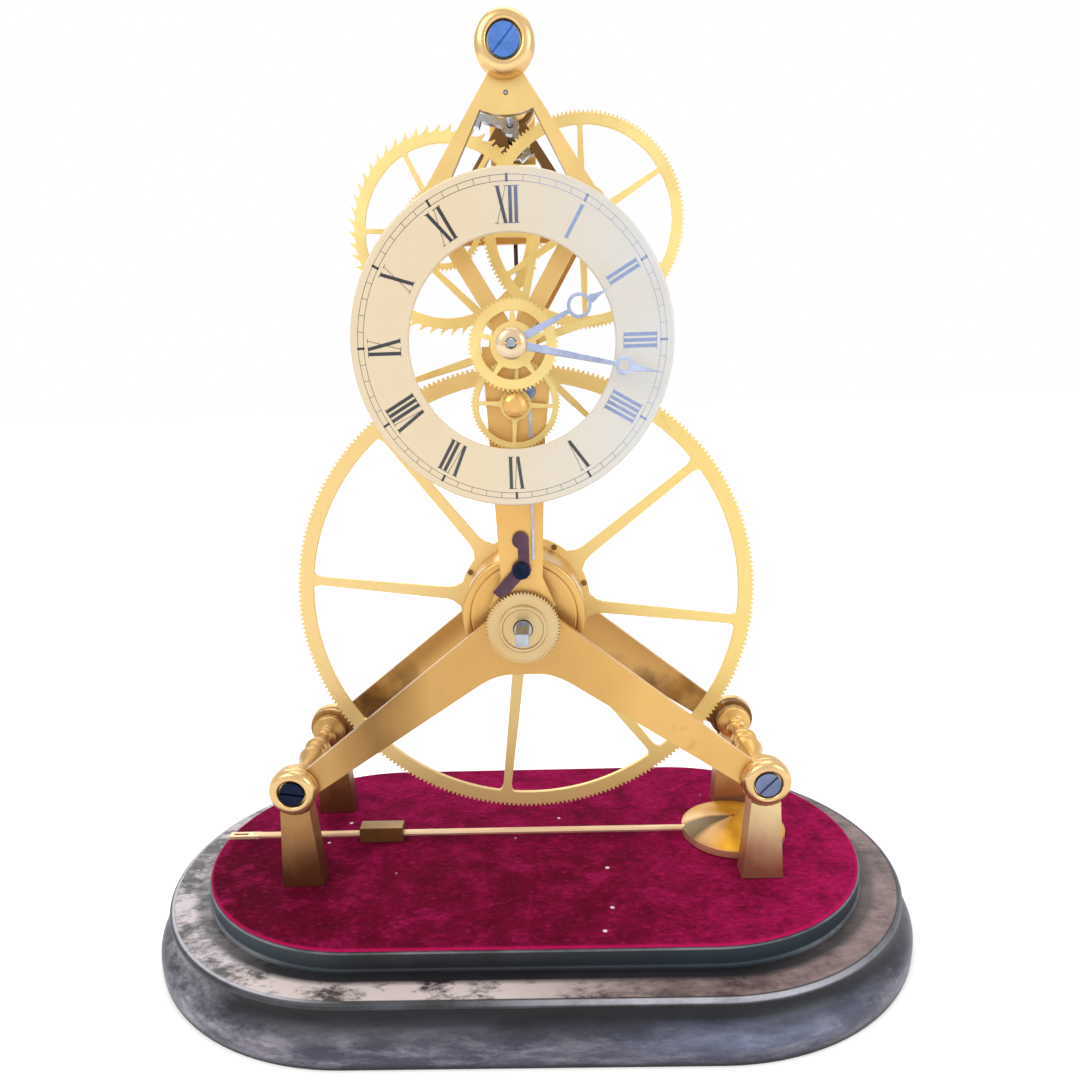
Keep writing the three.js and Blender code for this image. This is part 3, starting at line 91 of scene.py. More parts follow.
def length_setting(name, description, default):
    return bpy.props.FloatProperty(
        name=name, description=description, unit="LENGTH", subtype="DISTANCE", min=0,
        default=default * METRES)


class SkeletonClockFinishes(bpy.types.PropertyGroup):
    """Colours of the clock's finishes"""
    plate: colour_setting("Plate brass", "Satin brass of the plates and pillars", "D9AE68")
    wheel: colour_setting("Wheel brass", "Paler brass of the wheels", "F7E094")
    warm: colour_setting("Warm brass", "Redder patches in the brass", "CC984F")
    steel: colour_setting("Steel", "Bright steel of arbors and pinions", "AEB2BC")
    hand: colour_setting("Hand steel", "Pale blue steel of the hands", "B9C4E2")
    blued: colour_setting("Blued steel", "Heat-blued screw heads", "5A84CC")
    dark_blued: colour_setting("Dark blued steel", "Screw heads blued nearly black", "1D2639")
    click: colour_setting("Click steel", "Purple-brown steel of the click", "5A4350")
    dial: colour_setting("Dial", "Satin cream of the silvered chapter ring", "E4D1B2")
    ink: colour_setting("Ink", "Filling of the numerals and track", "15161C")
    ebony: colour_setting("Ebonised wood", "Stained wood of the stand", "14151B")
    scuff: colour_setting("Scuffs", "Worn places on the stand", "ACA7B4")
    velvet: colour_setting("Velvet", "Crimson pile of the stand's cover", "74052F")


class SkeletonClockSizes(bpy.types.PropertyGroup):
    """Sizes of the clock's details"""
    edge_break: length_setting("Edge break", "Width of the small bevels on plates and feet", 0.4)
    wheel_edge: length_setting("Wheel edge", "Width of the small bevels on wheels", 0.14)
    track_outer: length_setting("Outer track", "Radius of the minute track's outer circle", 53.8)
    track_inner: length_setting("Inner track", "Radius of the minute track's inner circle", 51.8)
    numeral_top: length_setting("Numeral top", "Radius of the numerals' outer ends", 50.4)
    numeral_foot: length_setting("Numeral foot", "Radius of the numerals' inner ends", 38.8)
    stroke: length_setting("Stroke", "Width of a numeral's broad stroke", 1.2)
    hairline: length_setting("Hairline", "Width of a numeral's fine stroke", 0.18)
    great_teeth: bpy.props.IntProperty(
        name="Great wheel teeth", description="Teeth on the great wheel", default=300, min=30)
    centre_leaves: bpy.props.IntProperty(
        name="Centre leaves", description="Leaves on the centre pinion", default=18, min=6)


def finishes():
    return bpy.context.scene.skeleton_clock_finishes


def sizes():
    return bpy.context.scene.skeleton_clock_sizes


def size(name):
    """A size in millimetres"""
    return getattr(sizes(), name) / METRES


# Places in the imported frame

def node_box(node):
    """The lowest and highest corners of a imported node"""
    low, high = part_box(node)
    return low / METRES, high / METRES


def arbor_of(joint):
    """The point on a joint's axis at y 0"""
    x, _, z = JOINTS[joint]["pos_m"]
    return Vector((x, 0, z)) / METRES


def middle_of(node):
    low, high = node_box(node)
    return (low + high) / 2


def half_width(node):
    low, high = node_box(node)
    return (high.x - low.x) / 2


# Shapes

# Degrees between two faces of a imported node: below the first they are one face, above the second their
# edge is broken
FLAT_ANGLE, PACKED_SHARP_ANGLE = 1.5, 28


def everything(bm):
    return bm.verts[:] + bm.edges[:] + bm.faces[:]


def shifted(bm, parts, vec):
    """Moves the corners among some parts of a shape"""
    bmesh.ops.translate(bm, verts=[v for v in parts if isinstance(v, bmesh.types.BMVert)], vec=vec)


def cleaned(bm, gap=1e-4):
    bmesh.ops.remove_doubles(bm, verts=bm.verts, dist=gap)
    bmesh.ops.recalc_face_normals(bm, faces=bm.faces)
    return bm


def turned(profile, centre, axis="Y", *, steps):
    """A turned shape: the profile lists (radius, place along the axis); one off the axis closes on itself"""
    bm = bmesh.new()
    centre = centre - AXES[axis] * centre.dot(AXES[axis])
    line = [bm.verts.new(centre + AXES[axis] * along + RADIAL[axis] * radius) for radius, along in profile]
    edges = [bm.edges.new(pair) for pair in zip(line, line[1:])]
    if profile[0][0] > 0 and profile[-1][0] > 0:
        edges.append(bm.edges.new((line[-1], line[0])))
    bmesh.ops.spin(
        bm, geom=line + edges, cent=centre, axis=AXES[axis], angle=FULL_TURN, steps=steps,
        use_merge=True, use_normal_flip=False, use_duplicate=False, dvec=(0, 0, 0))
    return cleaned(bm)


def rod(centre, radius, front, back, steps=24):
    return turned([(0, front), (radius, front), (radius, back), (0, back)], centre, steps=steps)


def sleeve(centre, inner, outer, front, back, steps):
    return turned([(inner, front), (outer, front), (outer, back), (inner, back)], centre, steps=steps)


def rim(centre, front, back, inner, outer, edge, steps):
    """A flat ring with its edges broken"""
    return turned([
        (inner + edge, front), (outer - edge, front), (outer, front + edge), (outer, back - edge),
        (outer - edge, back), (inner + edge, back), (inner, back - edge), (inner, front + edge)],
        centre, steps=steps)


def bevelled(bm, edges, width, segments=2):
    bmesh.ops.bevel(
        bm, geom=edges, offset=width, offset_type="OFFSET", segments=segments, profile=0.5,
        affect="EDGES", clamp_overlap=True, material=-1)
    return bm


def broken(bm, width, angle=30, segments=2):
    """Small bevels on every edge sharper than the angle"""
    sharp = [e for e in bm.edges if len(e.link_faces) == 2 and e.calc_face_angle() > math.radians(angle)]
    return bevelled(bm, sharp, width, segments)


def closed(bm):
    """Fills the holes of a shape"""
    open_edges = [e for e in bm.edges if len(e.link_faces) == 1]
    if open_edges:
        bmesh.ops.holes_fill(bm, edges=open_edges)


def prism(points, front, back, bevel=0.0):
    """A flat shape with its outline in X and Z, from front to back"""
    bm = bmesh.new()
    face = bm.faces.new([bm.verts.new((x, front, z)) for x, z in points])
    shifted(bm, bmesh.ops.extrude_face_region(bm, geom=[face])["geom"], (0, back - front, 0))
    closed(bm)
    bmesh.ops.recalc_face_normals(bm, faces=bm.faces)
    return broken(bm, bevel, segments=1) if bevel else bm


def block(low, high, bevel):
    bm = bmesh.new()
    bmesh.ops.create_cube(bm, size=1)
    bmesh.ops.scale(bm, vec=high - low, verts=bm.verts)
    bmesh.ops.translate(bm, vec=(low + high) / 2, verts=bm.verts)
    return broken(bm, bevel)


def around(bm, centre, count):
    """Equal copies of a shape about the line through centre along Y"""
    bmesh.ops.spin(
        bm, geom=everything(bm), cent=centre, axis=AXES["Y"],
        angle=FULL_TURN * (count - 1) / count, steps=count - 1, use_duplicate=True, dvec=(0, 0, 0))
    return bm


def rolled(bm, centre, degrees, axis="Y"):
    """The shape turned about a line through centre; about Y, clockwise from the front"""
    bmesh.ops.rotate(bm, cent=centre, matrix=Matrix.Rotation(math.radians(degrees), 3, axis), verts=bm.verts)
    return bm


def together(*parts):
    whole = bmesh.new()
    for part in parts:
        mesh = bpy.data.meshes.new("part")
        part.to_mesh(mesh)
        part.free()
        whole.from_mesh(mesh)
        bpy.data.meshes.remove(mesh)
    return whole


def oval(profile, steps):
    """An oval shape of the stand: the profile lists (half depth, z) from the axis round to the axis"""
    bm = bmesh.new()
    line = [bm.verts.new((HALF_STRAIGHT, -half, z)) for half, z in profile]
    edges = [bm.edges.new(pair) for pair in zip(line, line[1:])]
    shifted(bm, bmesh.ops.extrude_edge_only(bm, edges=edges)["geom"], (-HALF_STRAIGHT, 0, 0))
    bmesh.ops.spin(
        bm, geom=line + edges, cent=(HALF_STRAIGHT, 0, 0), axis=AXES["Z"], angle=QUARTER_TURN, steps=steps,
        use_merge=False, use_normal_flip=False, use_duplicate=False, dvec=(0, 0, 0))
    for axis in "XY":
        bmesh.ops.mirror(bm, geom=everything(bm), matrix=Matrix.Identity(4), merge_dist=1e-3, axis=axis)
    return cleaned(bm, 1e-3)


def smooth_line(points, steps):
    """More points on a smooth line through the given ones"""
    found = []
    for i in range(len(points) - 1):
        p0, p1, p2, p3 = (Vector(points[min(max(k, 0), len(points) - 1)]) for k in (i - 1, i, i + 1, i + 2))
        for step in range(steps):
            t = step / steps
            found.append(tuple(
                0.5 * (2 * p1 + (p2 - p0) * t + (2 * p0 - 5 * p1 + 4 * p2 - p3) * t * t
                       + (3 * p1 - p0 - 3 * p2 + p3) * t ** 3)))
    return found + [tuple(points[-1])]


def cad_copy(node, bevel):
    """The node's own shape with its small triangles merged and its edges broken"""
    bm = bmesh.new()
    bm.from_mesh(NODES[node].data)
    bmesh.ops.scale(bm, vec=(1 / METRES,) * 3, verts=bm.verts)
    bmesh.ops.remove_doubles(bm, verts=bm.verts, dist=1e-3)
    bmesh.ops.dissolve_limit(bm, angle_limit=math.radians(FLAT_ANGLE), verts=bm.verts, edges=bm.edges)
    return broken(bm, bevel, PACKED_SHARP_ANGLE)


def placed(name, data):
    """An object of the scene round some data"""
    made = bpy.data.objects.new(name, data)
    bpy.context.scene.collection.objects.link(made)
    return made


def piece(name, bm, finish, body, replaced=(), sharp=38):
    """Makes the shape an object of the clock, with its finish, riding on a body"""
    bmesh.ops.scale(bm, vec=(METRES,) * 3, verts=bm.verts)
    for face in bm.faces:
        face.smooth = True
    for edge in bm.edges:
        edge.smooth = len(edge.link_faces) == 2 and edge.calc_face_angle() < math.radians(sharp)
    mesh = bpy.data.meshes.new(name)
    bm.to_mesh(mesh)
    bm.free()
    for extra in ("custom_normal", "UVMap"):
        if extra in mesh.attributes:
            mesh.attributes.remove(mesh.attributes[extra])
    made = placed(name, mesh)
    mesh.materials.clear()
    mesh.materials.append(material_of(finish))
    weighted = made.modifiers.new("Weighted normals", "WEIGHTED_NORMAL")
    weighted.keep_sharp = True
    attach(made, body)
    if replaced:
        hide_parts(*replaced)
    return made


def dress(node, name, bm, finish, sharp=38):
    """A piece that stands for a node and rides on its body"""
    return piece(name, bm, finish, BODY_OF[node], (node,), sharp)


# Finishes

def colour(given):
    """A linear colour from its hexadecimal form or from the setting of that name"""
    return tuple(getattr(finishes(), given)) if hasattr(finishes(), given) else tone(given)


def darker(given, share):
    return tuple(c * share for c in colour(given))


class Term:
    """A number in a finish that changes over the surface and can be reckoned with"""

    def __init__(self, made, socket):
        self.made, self.socket = made, socket

    def __add__(self, other):
        return self.made.reckon("ADD", self, other)

    def __sub__(self, other):
        return self.made.reckon("SUBTRACT", self, other)

    def __rsub__(self, other):
        return self.made.reckon("SUBTRACT", other, self)

    def __mul__(self, other):
        return self.made.reckon("MULTIPLY", self, other)

    def __abs__(self):
        return self.made.reckon("ABSOLUTE", self, 0.0)

    def highest(self, other):
        return self.made.reckon("MAXIMUM", self, other)

    def root(self):
        return self.made.reckon("POWER", self, 0.5)

    def span(self, low, high, to_low=0.0, to_high=1.0):
        """Runs from to_low where the number is low to to_high where it is high, and stays level beyond"""
        made = self.made.node("ShaderNodeMapRange")
        keys = ("Value", "From Min", "From Max", "To Min", "To Max")
        for key, given in zip(keys, (self, low, high, to_low, to_high)):
            self.made.feed(made.inputs[key], given)
        return Term(self.made, made.outputs[0])


class Finish:
    """One procedural material as its layers go on; places are in metres, as the object's own are"""

    def __init__(self, name, metallic, roughness):
        self.material = bpy.data.materials.new(name)
        self.material.use_nodes = True
        self.tree = self.material.node_tree
        self.shader = self.tree.nodes["Principled BSDF"]
        self.roughness = roughness
        self.set("Metallic", metallic)
        self.set("Roughness", roughness)
        self.place = self.node("ShaderNodeTexCoord").outputs["Object"]

    def node(self, kind, **settings):
        made = self.tree.nodes.new(kind)
        for key, value in settings.items():
            setattr(made, key, value)
        return made

    def feed(self, socket, value):
        if isinstance(value, str):
            value = colour(value)
        if isinstance(value, Term):
            value = value.socket
        if isinstance(value, bpy.types.NodeSocket):
            self.tree.links.new(value, socket)
        elif hasattr(socket.default_value, "__len__") and len(socket.default_value) == 4 and len(value) == 3:
            socket.default_value = (*value, 1)
        else:
            socket.default_value = value

    def set(self, name, value):
        self.feed(self.shader.inputs[name], value)

    def mapped(self, scale, turn=(0, 0, 0)):
        made = self.node("ShaderNodeMapping")
        self.feed(made.inputs["Vector"], self.place)
        made.inputs["Rotation"].default_value = turn
        made.inputs["Scale"].default_value = scale
        return made.outputs["Vector"]

    def noise(self, scale, vector=None, detail=3.0, rough=0.55, bend=0.0):
        made = self.node("ShaderNodeTexNoise")
        self.feed(made.inputs["Vector"], vector or self.place)
        for key, value in (("Scale", scale), ("Detail", detail), ("Roughness", rough), ("Distortion", bend)):
            made.inputs[key].default_value = value
        return Term(self, made.outputs[0])

    def specks(self, scale, size_share):
        """1 inside small scattered specks, 0 elsewhere"""
        made = self.node("ShaderNodeTexVoronoi")
        self.feed(made.inputs["Vector"], self.place)
        made.inputs["Scale"].default_value = scale
        return Term(self, made.outputs["Distance"]).span(size_share, size_share * 0.6)

    def reckon(self, operation, first, second):
        made = self.node("ShaderNodeMath", operation=operation)
        self.feed(made.inputs[0], first)
        self.feed(made.inputs[1], second)
        return Term(self, made.outputs[0])

    def blend(self, share, first, second):
        """The first colour, with a share of the second"""
        made = self.node("ShaderNodeMix", data_type="RGBA")
        for socket, value in zip((made.inputs[0], made.inputs[6], made.inputs[7]), (share, first, second)):
            self.feed(socket, value)
        return made.outputs[2]

    def layer(self, share, over):
        """Lays a share of a colour over what is there"""
        self.body = self.blend(share, self.body, over)

    def parts(self):
        """The x, y and z of the place"""
        made = self.node("ShaderNodeSeparateXYZ")
        self.feed(made.inputs[0], self.place)
        return [Term(self, part) for part in made.outputs]

    def from_oval(self):
        """How far the place is from the line between the centres of the stand's round ends"""
        x, y, _ = self.parts()
        beyond = (abs(x) - HALF_STRAIGHT * METRES).highest(0.0)
        return (beyond * beyond + y * y).root()

    def bump(self, height, distance, strength):
        made = self.node("ShaderNodeBump")
        for key, value in (("Strength", strength), ("Distance", distance), ("Height", height)):
            self.feed(made.inputs[key], value)
        self.set("Normal", made.outputs["Normal"])

    def fine_grain(self):
        self.bump(self.noise(2400, detail=1), 0.00002, 0.2)

    def stains(self):
        return self.noise(150, detail=5, rough=0.66, bend=0.4).span(0.62, 0.8)


def brass(made, base, high_rough, stain):
    """Satin brass with redder patches and small brown stains"""
    made.body = colour(base)
    made.layer(made.noise(24).span(0.42, 0.72) * 0.5, "warm")
    made.layer(made.stains() * stain, darker("warm", 0.45))
    spots = made.specks(420, 0.09) * made.noise(60, detail=2).span(0.5, 0.6)
    made.layer(spots * stain, darker("warm", 0.3))
    made.set("Roughness", made.noise(70).span(0.35, 0.65, made.roughness, high_rough))
    made.fine_grain()


def plate_brass(made):
    """Plate brass: yellower at the top, with painted shade at the hub and on the left leg, and dark painted shade
    along the inner edges of the upper arms
    """
    brass(made, "plate", 0.4, 0.5)
    x, y, z = made.parts()
    made.layer(z.span(0.24, 0.30, 0.0, 0.6), "F4D690")
    # Painted shade: darker over the lower left leg and the hub, and a mottled dark band down the left leg
    made.layer(x.span(0.05, -0.09) * z.span(0.19, 0.14) * 0.8, "B08A55")
    made.layer(abs(x).span(0.05, 0.02) * z.span(0.17, 0.145) * 0.6, "BE9355")
    left_leg_shade_band = x.span(-0.040, -0.058) * x.span(-0.086, -0.064) * z.span(0.15, 0.13)
    made.layer(left_leg_shade_band * made.noise(20, detail=2).span(0.3, 0.6, 0.5, 0.95), "7A552C")
    # Painted shade: dark lines on the inner side faces of the upper arms
    face, back = (corner.y * METRES for corner in node_box("front_plate"))
    side = y.span(face + 0.0004, face + 0.0006) * y.span(back - 0.0002, back - 0.0004)
    reach = (ARM_TOP[1] * METRES - z) * ARM_SPREAD + ARM_TOP[0] * METRES
    inside = (abs(x) - reach).span(0.0, -0.0008)
    made.layer(side * inside * z.span(0.3135, 0.3155, 0.0, 0.9), "2B1F14")


def great_brass(made):
    """Satin brass of the great wheel, warm at the left and pale yellow at the right"""
    made.body = made.blend(made.parts()[0].span(0.0, 0.06), "EBCC8A", "F0D384")
    made.layer(made.stains() * 0.25, darker("warm", 0.45))
    made.fine_grain()


def rear_brass(made):
    """Brass of the rear plate, darkened by the front plate's painted shade, with painted shade near the feet and
    at the top
    """
    height = made.parts()[2] + made.noise(45, detail=4).span(0.35, 0.7, -0.012, 0.012)
    # Painted shade by height: darkest near the feet, lighter above them, darker again higher up and at the top
    made.body = made.blend(height.span(0.108, 0.088), "CFA564", "74522A")
    made.layer(height.span(0.15, 0.20), "B88746")
    made.layer(height.span(0.318, 0.334), "72532F")
    made.fine_grain()


def foot_brass(made):
    """Brass of the feet, with painted shade and a painted red reflection of the velvet towards the velvet, and
    painted shade at the left
    """
    x, _, z = made.parts()
    # Painted shade: darker at the left, and darker and redder towards the velvet as its painted reflection
    side = x.span(-0.02, 0.02)
    shade_edge_noise = made.noise(60, made.mapped((1, 1, 0.6)), detail=4).span(0.35, 0.7, -0.006, 0.006)
    down = (z + shade_edge_noise).span(0.068, 0.042)
    made.body = made.blend(down, made.blend(side, "A87C4C", "E6CC9A"), made.blend(side, "6E4228", "A8765A"))
    made.fine_grain()


def bob_brass(made):
    """Golden brass of the bob, with painted reflections: a dark olive wedge between pale bands across its left,
    and a rosy band round its rim
    """
    low, high = node_box("pendulum_bob")
    x, y, z = made.parts()
    across, along = (x - (low.x + high.x) / 2 * METRES) * -1.0, y - (low.y + high.y) / 2 * METRES
    off = abs(made.reckon("ARCTAN2", along, across) + 0.25)
    made.body = made.blend(made.noise(70).span(0.4, 0.7), "DCA41E", "C2821C")
    # Painted reflections: a pale band and a dark olive wedge across the left, and a rosy band round the rim
    made.layer(off.span(0.95, 0.5) * 0.75, "DDB585")
    made.layer(off.span(0.42, 0.24) * 0.9, "4F4020")
    made.layer(z.span((low.z + 3.9) * METRES, (low.z + 3.4) * METRES) * 0.7, "DFB79A")


def turned_brass(made, base, joint):
    """Brass turned in a lathe, with faint rings about a joint's axis"""
    centre = arbor_of(joint) * METRES
    x, _, z = made.parts()
    across, up = x - centre.x, z - centre.z
    node = made.node("ShaderNodeTexNoise", noise_dimensions="1D")
    made.feed(node.inputs["W"], (across * across + up * up).root())
    node.inputs["Scale"].default_value = 2600
    rings = Term(made, node.outputs[0])
    made.body = colour(base)
    made.layer(made.noise(40).span(0.4, 0.7) * 0.5, "warm")
    made.layer(rings.span(0.35, 0.75, 0.0, 0.12), darker(base, 0.5))
    made.set("Roughness", rings.span(0.3, 0.7, 0.26, 0.38))
    made.bump(rings, 0.00003, 0.2)


def steel(made, base, high_rough):
    """Polished steel with a faint draw-filed grain"""
    made.body = colour(base)
    made.layer(made.noise(120).span(0.35, 0.7), darker(base, 0.66))
    grain = made.noise(1800, made.mapped((0.2, 1, 1)), detail=2)
    made.set("Roughness", grain.span(0.3, 0.7, made.roughness, high_rough))
    made.bump(grain, 0.00003, 0.25)


def silvered_dial(made):
    """Grained satin dial, warmer at the left, with a painted grey reflection at the right"""
    # Painted reflection: greyer towards the right
    made.body = made.blend(made.parts()[0].span(-0.015, 0.045), "dial", "D9D8D6")
    grain = made.noise(2600, detail=2)
    made.layer(grain.span(0.3, 0.75, 0.0, 0.12), darker("dial", 0.6))
    made.layer(made.noise(60, detail=4).span(0.5, 0.8, 0.0, 0.2), "D2B88E")
    made.set("Roughness", grain.span(0.3, 0.7, 0.36, 0.5))
    made.bump(grain, 0.00003, 0.3)


def ink(made):
    """Wax-filled engraving, with a painted steel-blue reflection over it at the right of the dial"""
    worn = made.noise(700, detail=2).span(0.4, 0.8, 0.0, 0.5)
    x, _, z = made.parts()
    # Painted reflection: the ink turns pale steel blue towards the right of the dial
    painted_glare = (x + z * 0.35).span(0.103, 0.122)
    made.body = made.blend(painted_glare, made.blend(worn, "ink", "3B4152"), made.blend(worn, "8A9CC8", "A9B6D6"))
    made.set("Coat Weight", 0.6)


def ebonised(made):
    """Black-stained wood with broad pale scuffs strongest at the left; painted light greys the lower band, painted
    shade darkens the cove and bottom edge, and a painted bluish sheen lies at the right
    """
    x, _, z = made.parts()
    smears = made.noise(44, made.mapped((0.45, 1, 1.8)), detail=9, rough=0.74)
    fine = made.noise(300, made.mapped((0.25, 0.6, 1)), detail=4, rough=0.65)
    made.body = made.blend(smears.span(0.38, 0.6), "ebony", "2C2D38")
    # Painted light: greyer on the lower band of the moulding
    low = z.span(0.0150, 0.0085)
    made.layer(low * 0.6, "56556A")
    # Painted shade: dark in the cove
    made.layer(z.span(0.0150, 0.0185, 0.0, 0.7), "08090C")
    # Painted highlight: a bluish sheen on the lower band at the right
    sheen = z.span(0.004, 0.009) * z.span(0.016, 0.011) * abs(x - 0.085).span(0.06, 0.01)
    made.layer(sheen * smears.span(0.35, 0.55, 0.3, 0.8), "8188A4")
    worn = smears.span(0.45, 0.6) * fine.span(0.35, 0.6, 0.35, 1.0) * low.highest(x.span(-0.11, -0.15))
    made.layer(worn * x.span(0.02, -0.15, 0.5, 1.0), "scuff")
    # Painted shade: dark along the bottom edge
    made.layer(z.span(0.0034, 0.0012), "16171D")
    made.set("Roughness", smears.span(0.35, 0.7, 0.3, 0.5))
    made.set("Specular IOR Level", 0.3)
    made.bump(fine, 0.0001, 0.25)


def stage_wall(made):
    """The stage's dark wall, blue-green at the right, with painted highlights along its edges"""
    low, high = node_box("stage")
    x, y, z = made.parts()
    smears = made.noise(50, made.mapped((0.5, 1, 1)), detail=7, rough=0.7)
    made.body = made.blend(smears.span(0.35, 0.65), "111216", "24272E")
    made.layer(x.span(-0.02, 0.08, 0.0, 0.8), "26343E")
    made.layer(x.span(-0.06, -0.12, 0.0, 0.6), "4A5A64")
    # Painted highlights along the top edge and, at the front, along the lip
    foot = z.span((low.z + 1.9) * METRES, (low.z + 1.4) * METRES) * y.span(-0.078, -0.068)
    top = z.span((high.z - 0.7) * METRES, (high.z - 0.3) * METRES)
    made.layer(foot.highest(top) * smears.span(0.35, 0.6, 0.1, 0.7), "8F9298")
    made.bump(smears, 0.0001, 0.25)


def worn_ledge(made):
    """The ledge: marbled black and white at the left, brown at the right, rubbed pale along the front, dark beside
    the stage wall as unworn stain with painted shadow, and painted highlights along the nosing
    """
    x, y, z = made.parts()
    away = made.from_oval()
    smears = made.noise(68, made.mapped((0.6, 1, 1)), detail=10, rough=0.78)
    marbled = made.blend(smears.span(0.44, 0.58), "1B181D", "D2C7CB")
    brown = made.blend(smears.span(0.38, 0.62), "46383A", "97817F")
    pale = made.blend(smears.span(0.41, 0.51), "3A3133", "D6C8C7")
    black = made.blend(smears.span(0.45, 0.62), "15161B", "3D3E49")
    made.body = made.blend(x.span(-0.09, -0.03), marbled, brown)
    made.layer(y.span(-0.072, -0.084) * x.span(0.05, -0.01), pale)
    # Darker beside the stage wall, most at the front: unworn stain with the wall's painted shadow
    made.layer(away.span(0.0876, 0.0846) * y.span(-0.03, -0.08, 0.45, 1.0), "131216")
    made.layer(away.span(0.0951, 0.0957), black)
    # Painted highlights along the nosing's upper edge
    left_edge_highlight = away.span(0.0952, 0.0957) * away.span(0.0969, 0.0963) * x.span(-0.07, -0.10)
    right_edge_highlight = away.span(0.0959, 0.0964) * z.span(0.0236, 0.0242)
    right_edge_highlight = right_edge_highlight * x.span(-0.03, 0.03) * x.span(0.15, 0.10, 0.15, 0.9)
    made.layer(left_edge_highlight.highest(right_edge_highlight) * smears.span(0.3, 0.5, 0.4, 0.85), "C6C6D2")
    made.set("Roughness", smears.span(0.35, 0.7, 0.34, 0.56))
    made.bump(smears, 0.0002, 0.3)


def velvet_pile(made):
    """Crimson velvet: blotches in the pile, painted light at the back and the right and painted shade at the left,
    a pink edge and lint
    """
    x, y, _ = made.parts()
    blotch = made.noise(58, detail=8, rough=0.66)
    nap = made.noise(520, made.mapped((0.6, 1, 1), (0, 0, 0.6)), detail=4, rough=0.7)
    # Painted light at the right and the back, painted shade at the left
    made.body = made.blend(x.span(0.03, 0.12), "velvet", "A0104E")
    made.layer(x.span(-0.06, -0.13), "56001C")
    made.layer(y.span(-0.02, 0.06, 0.0, 0.75), "A00A50")
    made.layer(blotch.span(0.52, 0.34, 0.0, 0.7), darker("velvet", 0.4))
    made.layer(blotch.span(0.52, 0.74, 0.0, 0.7), "B41A62")
    made.layer(nap.span(0.52, 0.36, 0.0, 0.5), darker("velvet", 0.4))
    made.layer(nap.span(0.56, 0.78, 0.0, 0.45), "C43078")
    made.layer(made.from_oval().span(0.0772, 0.0784, 0.0, 0.6), "CC1C60")
    made.layer(made.specks(62, 0.07) * blotch.span(0.46, 0.5), "F2E2E6")
    for name, value in (("Sheen Weight", 0.15), ("Sheen Roughness", 0.4), ("Sheen Tint", "E07AA0"),
                        ("Specular IOR Level", 0.05)):
        made.set(name, value)
    made.bump(nap + blotch * 3.0, 0.0005, 0.5)


# For each finish: its slot in the record, how metallic and rough it is, what lays its colours, and the
# inputs of that
FINISHES = {
    "plate brass": ("plate_brass", 0.75, 0.28, plate_brass),
    "wheel brass": ("wheel_brass", 0.42, 0.34, brass, "wheel", 0.44, 0.2),
    "great wheel brass": ("wheel_brass", 0.42, 0.38, great_brass),
    "rear brass": ("plate_brass", 0.7, 0.32, rear_brass),
    "foot brass": ("plate_brass", 0.6, 0.36, foot_brass),
    "bob brass": ("plate_brass", 0.55, 0.34, bob_brass),
    "rod brass": ("plate_brass", 0.5, 0.3, brass, "EFD2AC", 0.4, 0.2),
    "block brass": ("plate_brass", 0.6, 0.3, brass, "7A5B32", 0.42, 0.4),
    "collar brass": ("plate_brass", 0.85, 0.2, brass, "D9B680", 0.3, 0.4),
    "drum brass": ("plate_brass", 0.75, 0.3, turned_brass, "plate", "great_wheel_turn"),
    "ratchet brass": ("plate_brass", 0.75, 0.3, turned_brass, "CAB286", "great_wheel_turn"),
    "dial brass": ("plate_brass", 0.75, 0.3, turned_brass, "DCC9AC", "centre_arbor_turn"),
    "steel": ("steel", 1.0, 0.18, steel, "steel", 0.36),
    "hand steel": ("steel", 1.0, 0.22, steel, "hand", 0.36),
    "blued steel": ("blued_steel", 1.0, 0.3, steel, "blued", 0.42),
    "dark blued steel": ("blued_steel", 1.0, 0.24, steel, "dark_blued", 0.36),
    "slate blued steel": ("blued_steel", 1.0, 0.26, steel, "7B86A8", 0.38),
    "click steel": ("dark_steel", 1.0, 0.28, steel, "click", 0.42),
    "silvered dial": ("silvered_dial", 0.25, 0.42, silvered_dial),
    "ink": ("silvered_dial", 0.0, 0.28, ink),
    "ebonised wood": ("ebonised_wood", 0.0, 0.4, ebonised),
    "stage wall": ("ebonised_wood", 0.0, 0.4, stage_wall),
    "worn ledge": ("worn_ledge", 0.0, 0.44, worn_ledge),
    "velvet": ("velvet", 0.0, 0.95, velvet_pile),
}
made_finishes = {}


def material_of(finish):
    """The material of a finish, made when it is first asked for"""
    if finish not in made_finishes:
        _, metallic, roughness, lay, *inputs = FINISHES[finish]
        made = Finish(finish.capitalize(), metallic, roughness)
        lay(made, *inputs)
        made.set("Base Color", made.body)
        made_finishes[finish] = made.material
    return made_finishes[finish]


# The stand

THROAT_INSET = 3.3  # from the ledge's edge in to the narrowest place of the plinth's moulding
# The moulding from the floor up: share of the way from the throat to the foot, share of the height
OGEE = (
    (0.9, 0), (0.98, 0.03), (1, 0.1), (1, 0.28), (0.95, 0.4), (0.8, 0.5), (0.58, 0.58), (0.34, 0.67),
    (0.16, 0.77), (0.05, 0.88), (0, 1))
# The edges of the ledge and the velvet from below: in from the edge, share of the height
NOSING = ((1.9, 0), (0.8, 0.15), (0.15, 0.32), (0, 0.5), (0.15, 0.68), (0.8, 0.9), (1.9, 1))
VELVET_ROLL = ((0.5, 0), (0, 0.35), (0.12, 0.68), (0.5, 0.9), (1.1, 1))
# The stage's lip, in from the edge and up from below; its top edge, in from the edge and down from the top
STAGE_LIP = ((0, 0), (0, 1.0), (0.25, 1.5), (0.8, 1.7))
STAGE_TOP = ((0.8, 0.7), (1.0, 0.2), (1.5, 0))


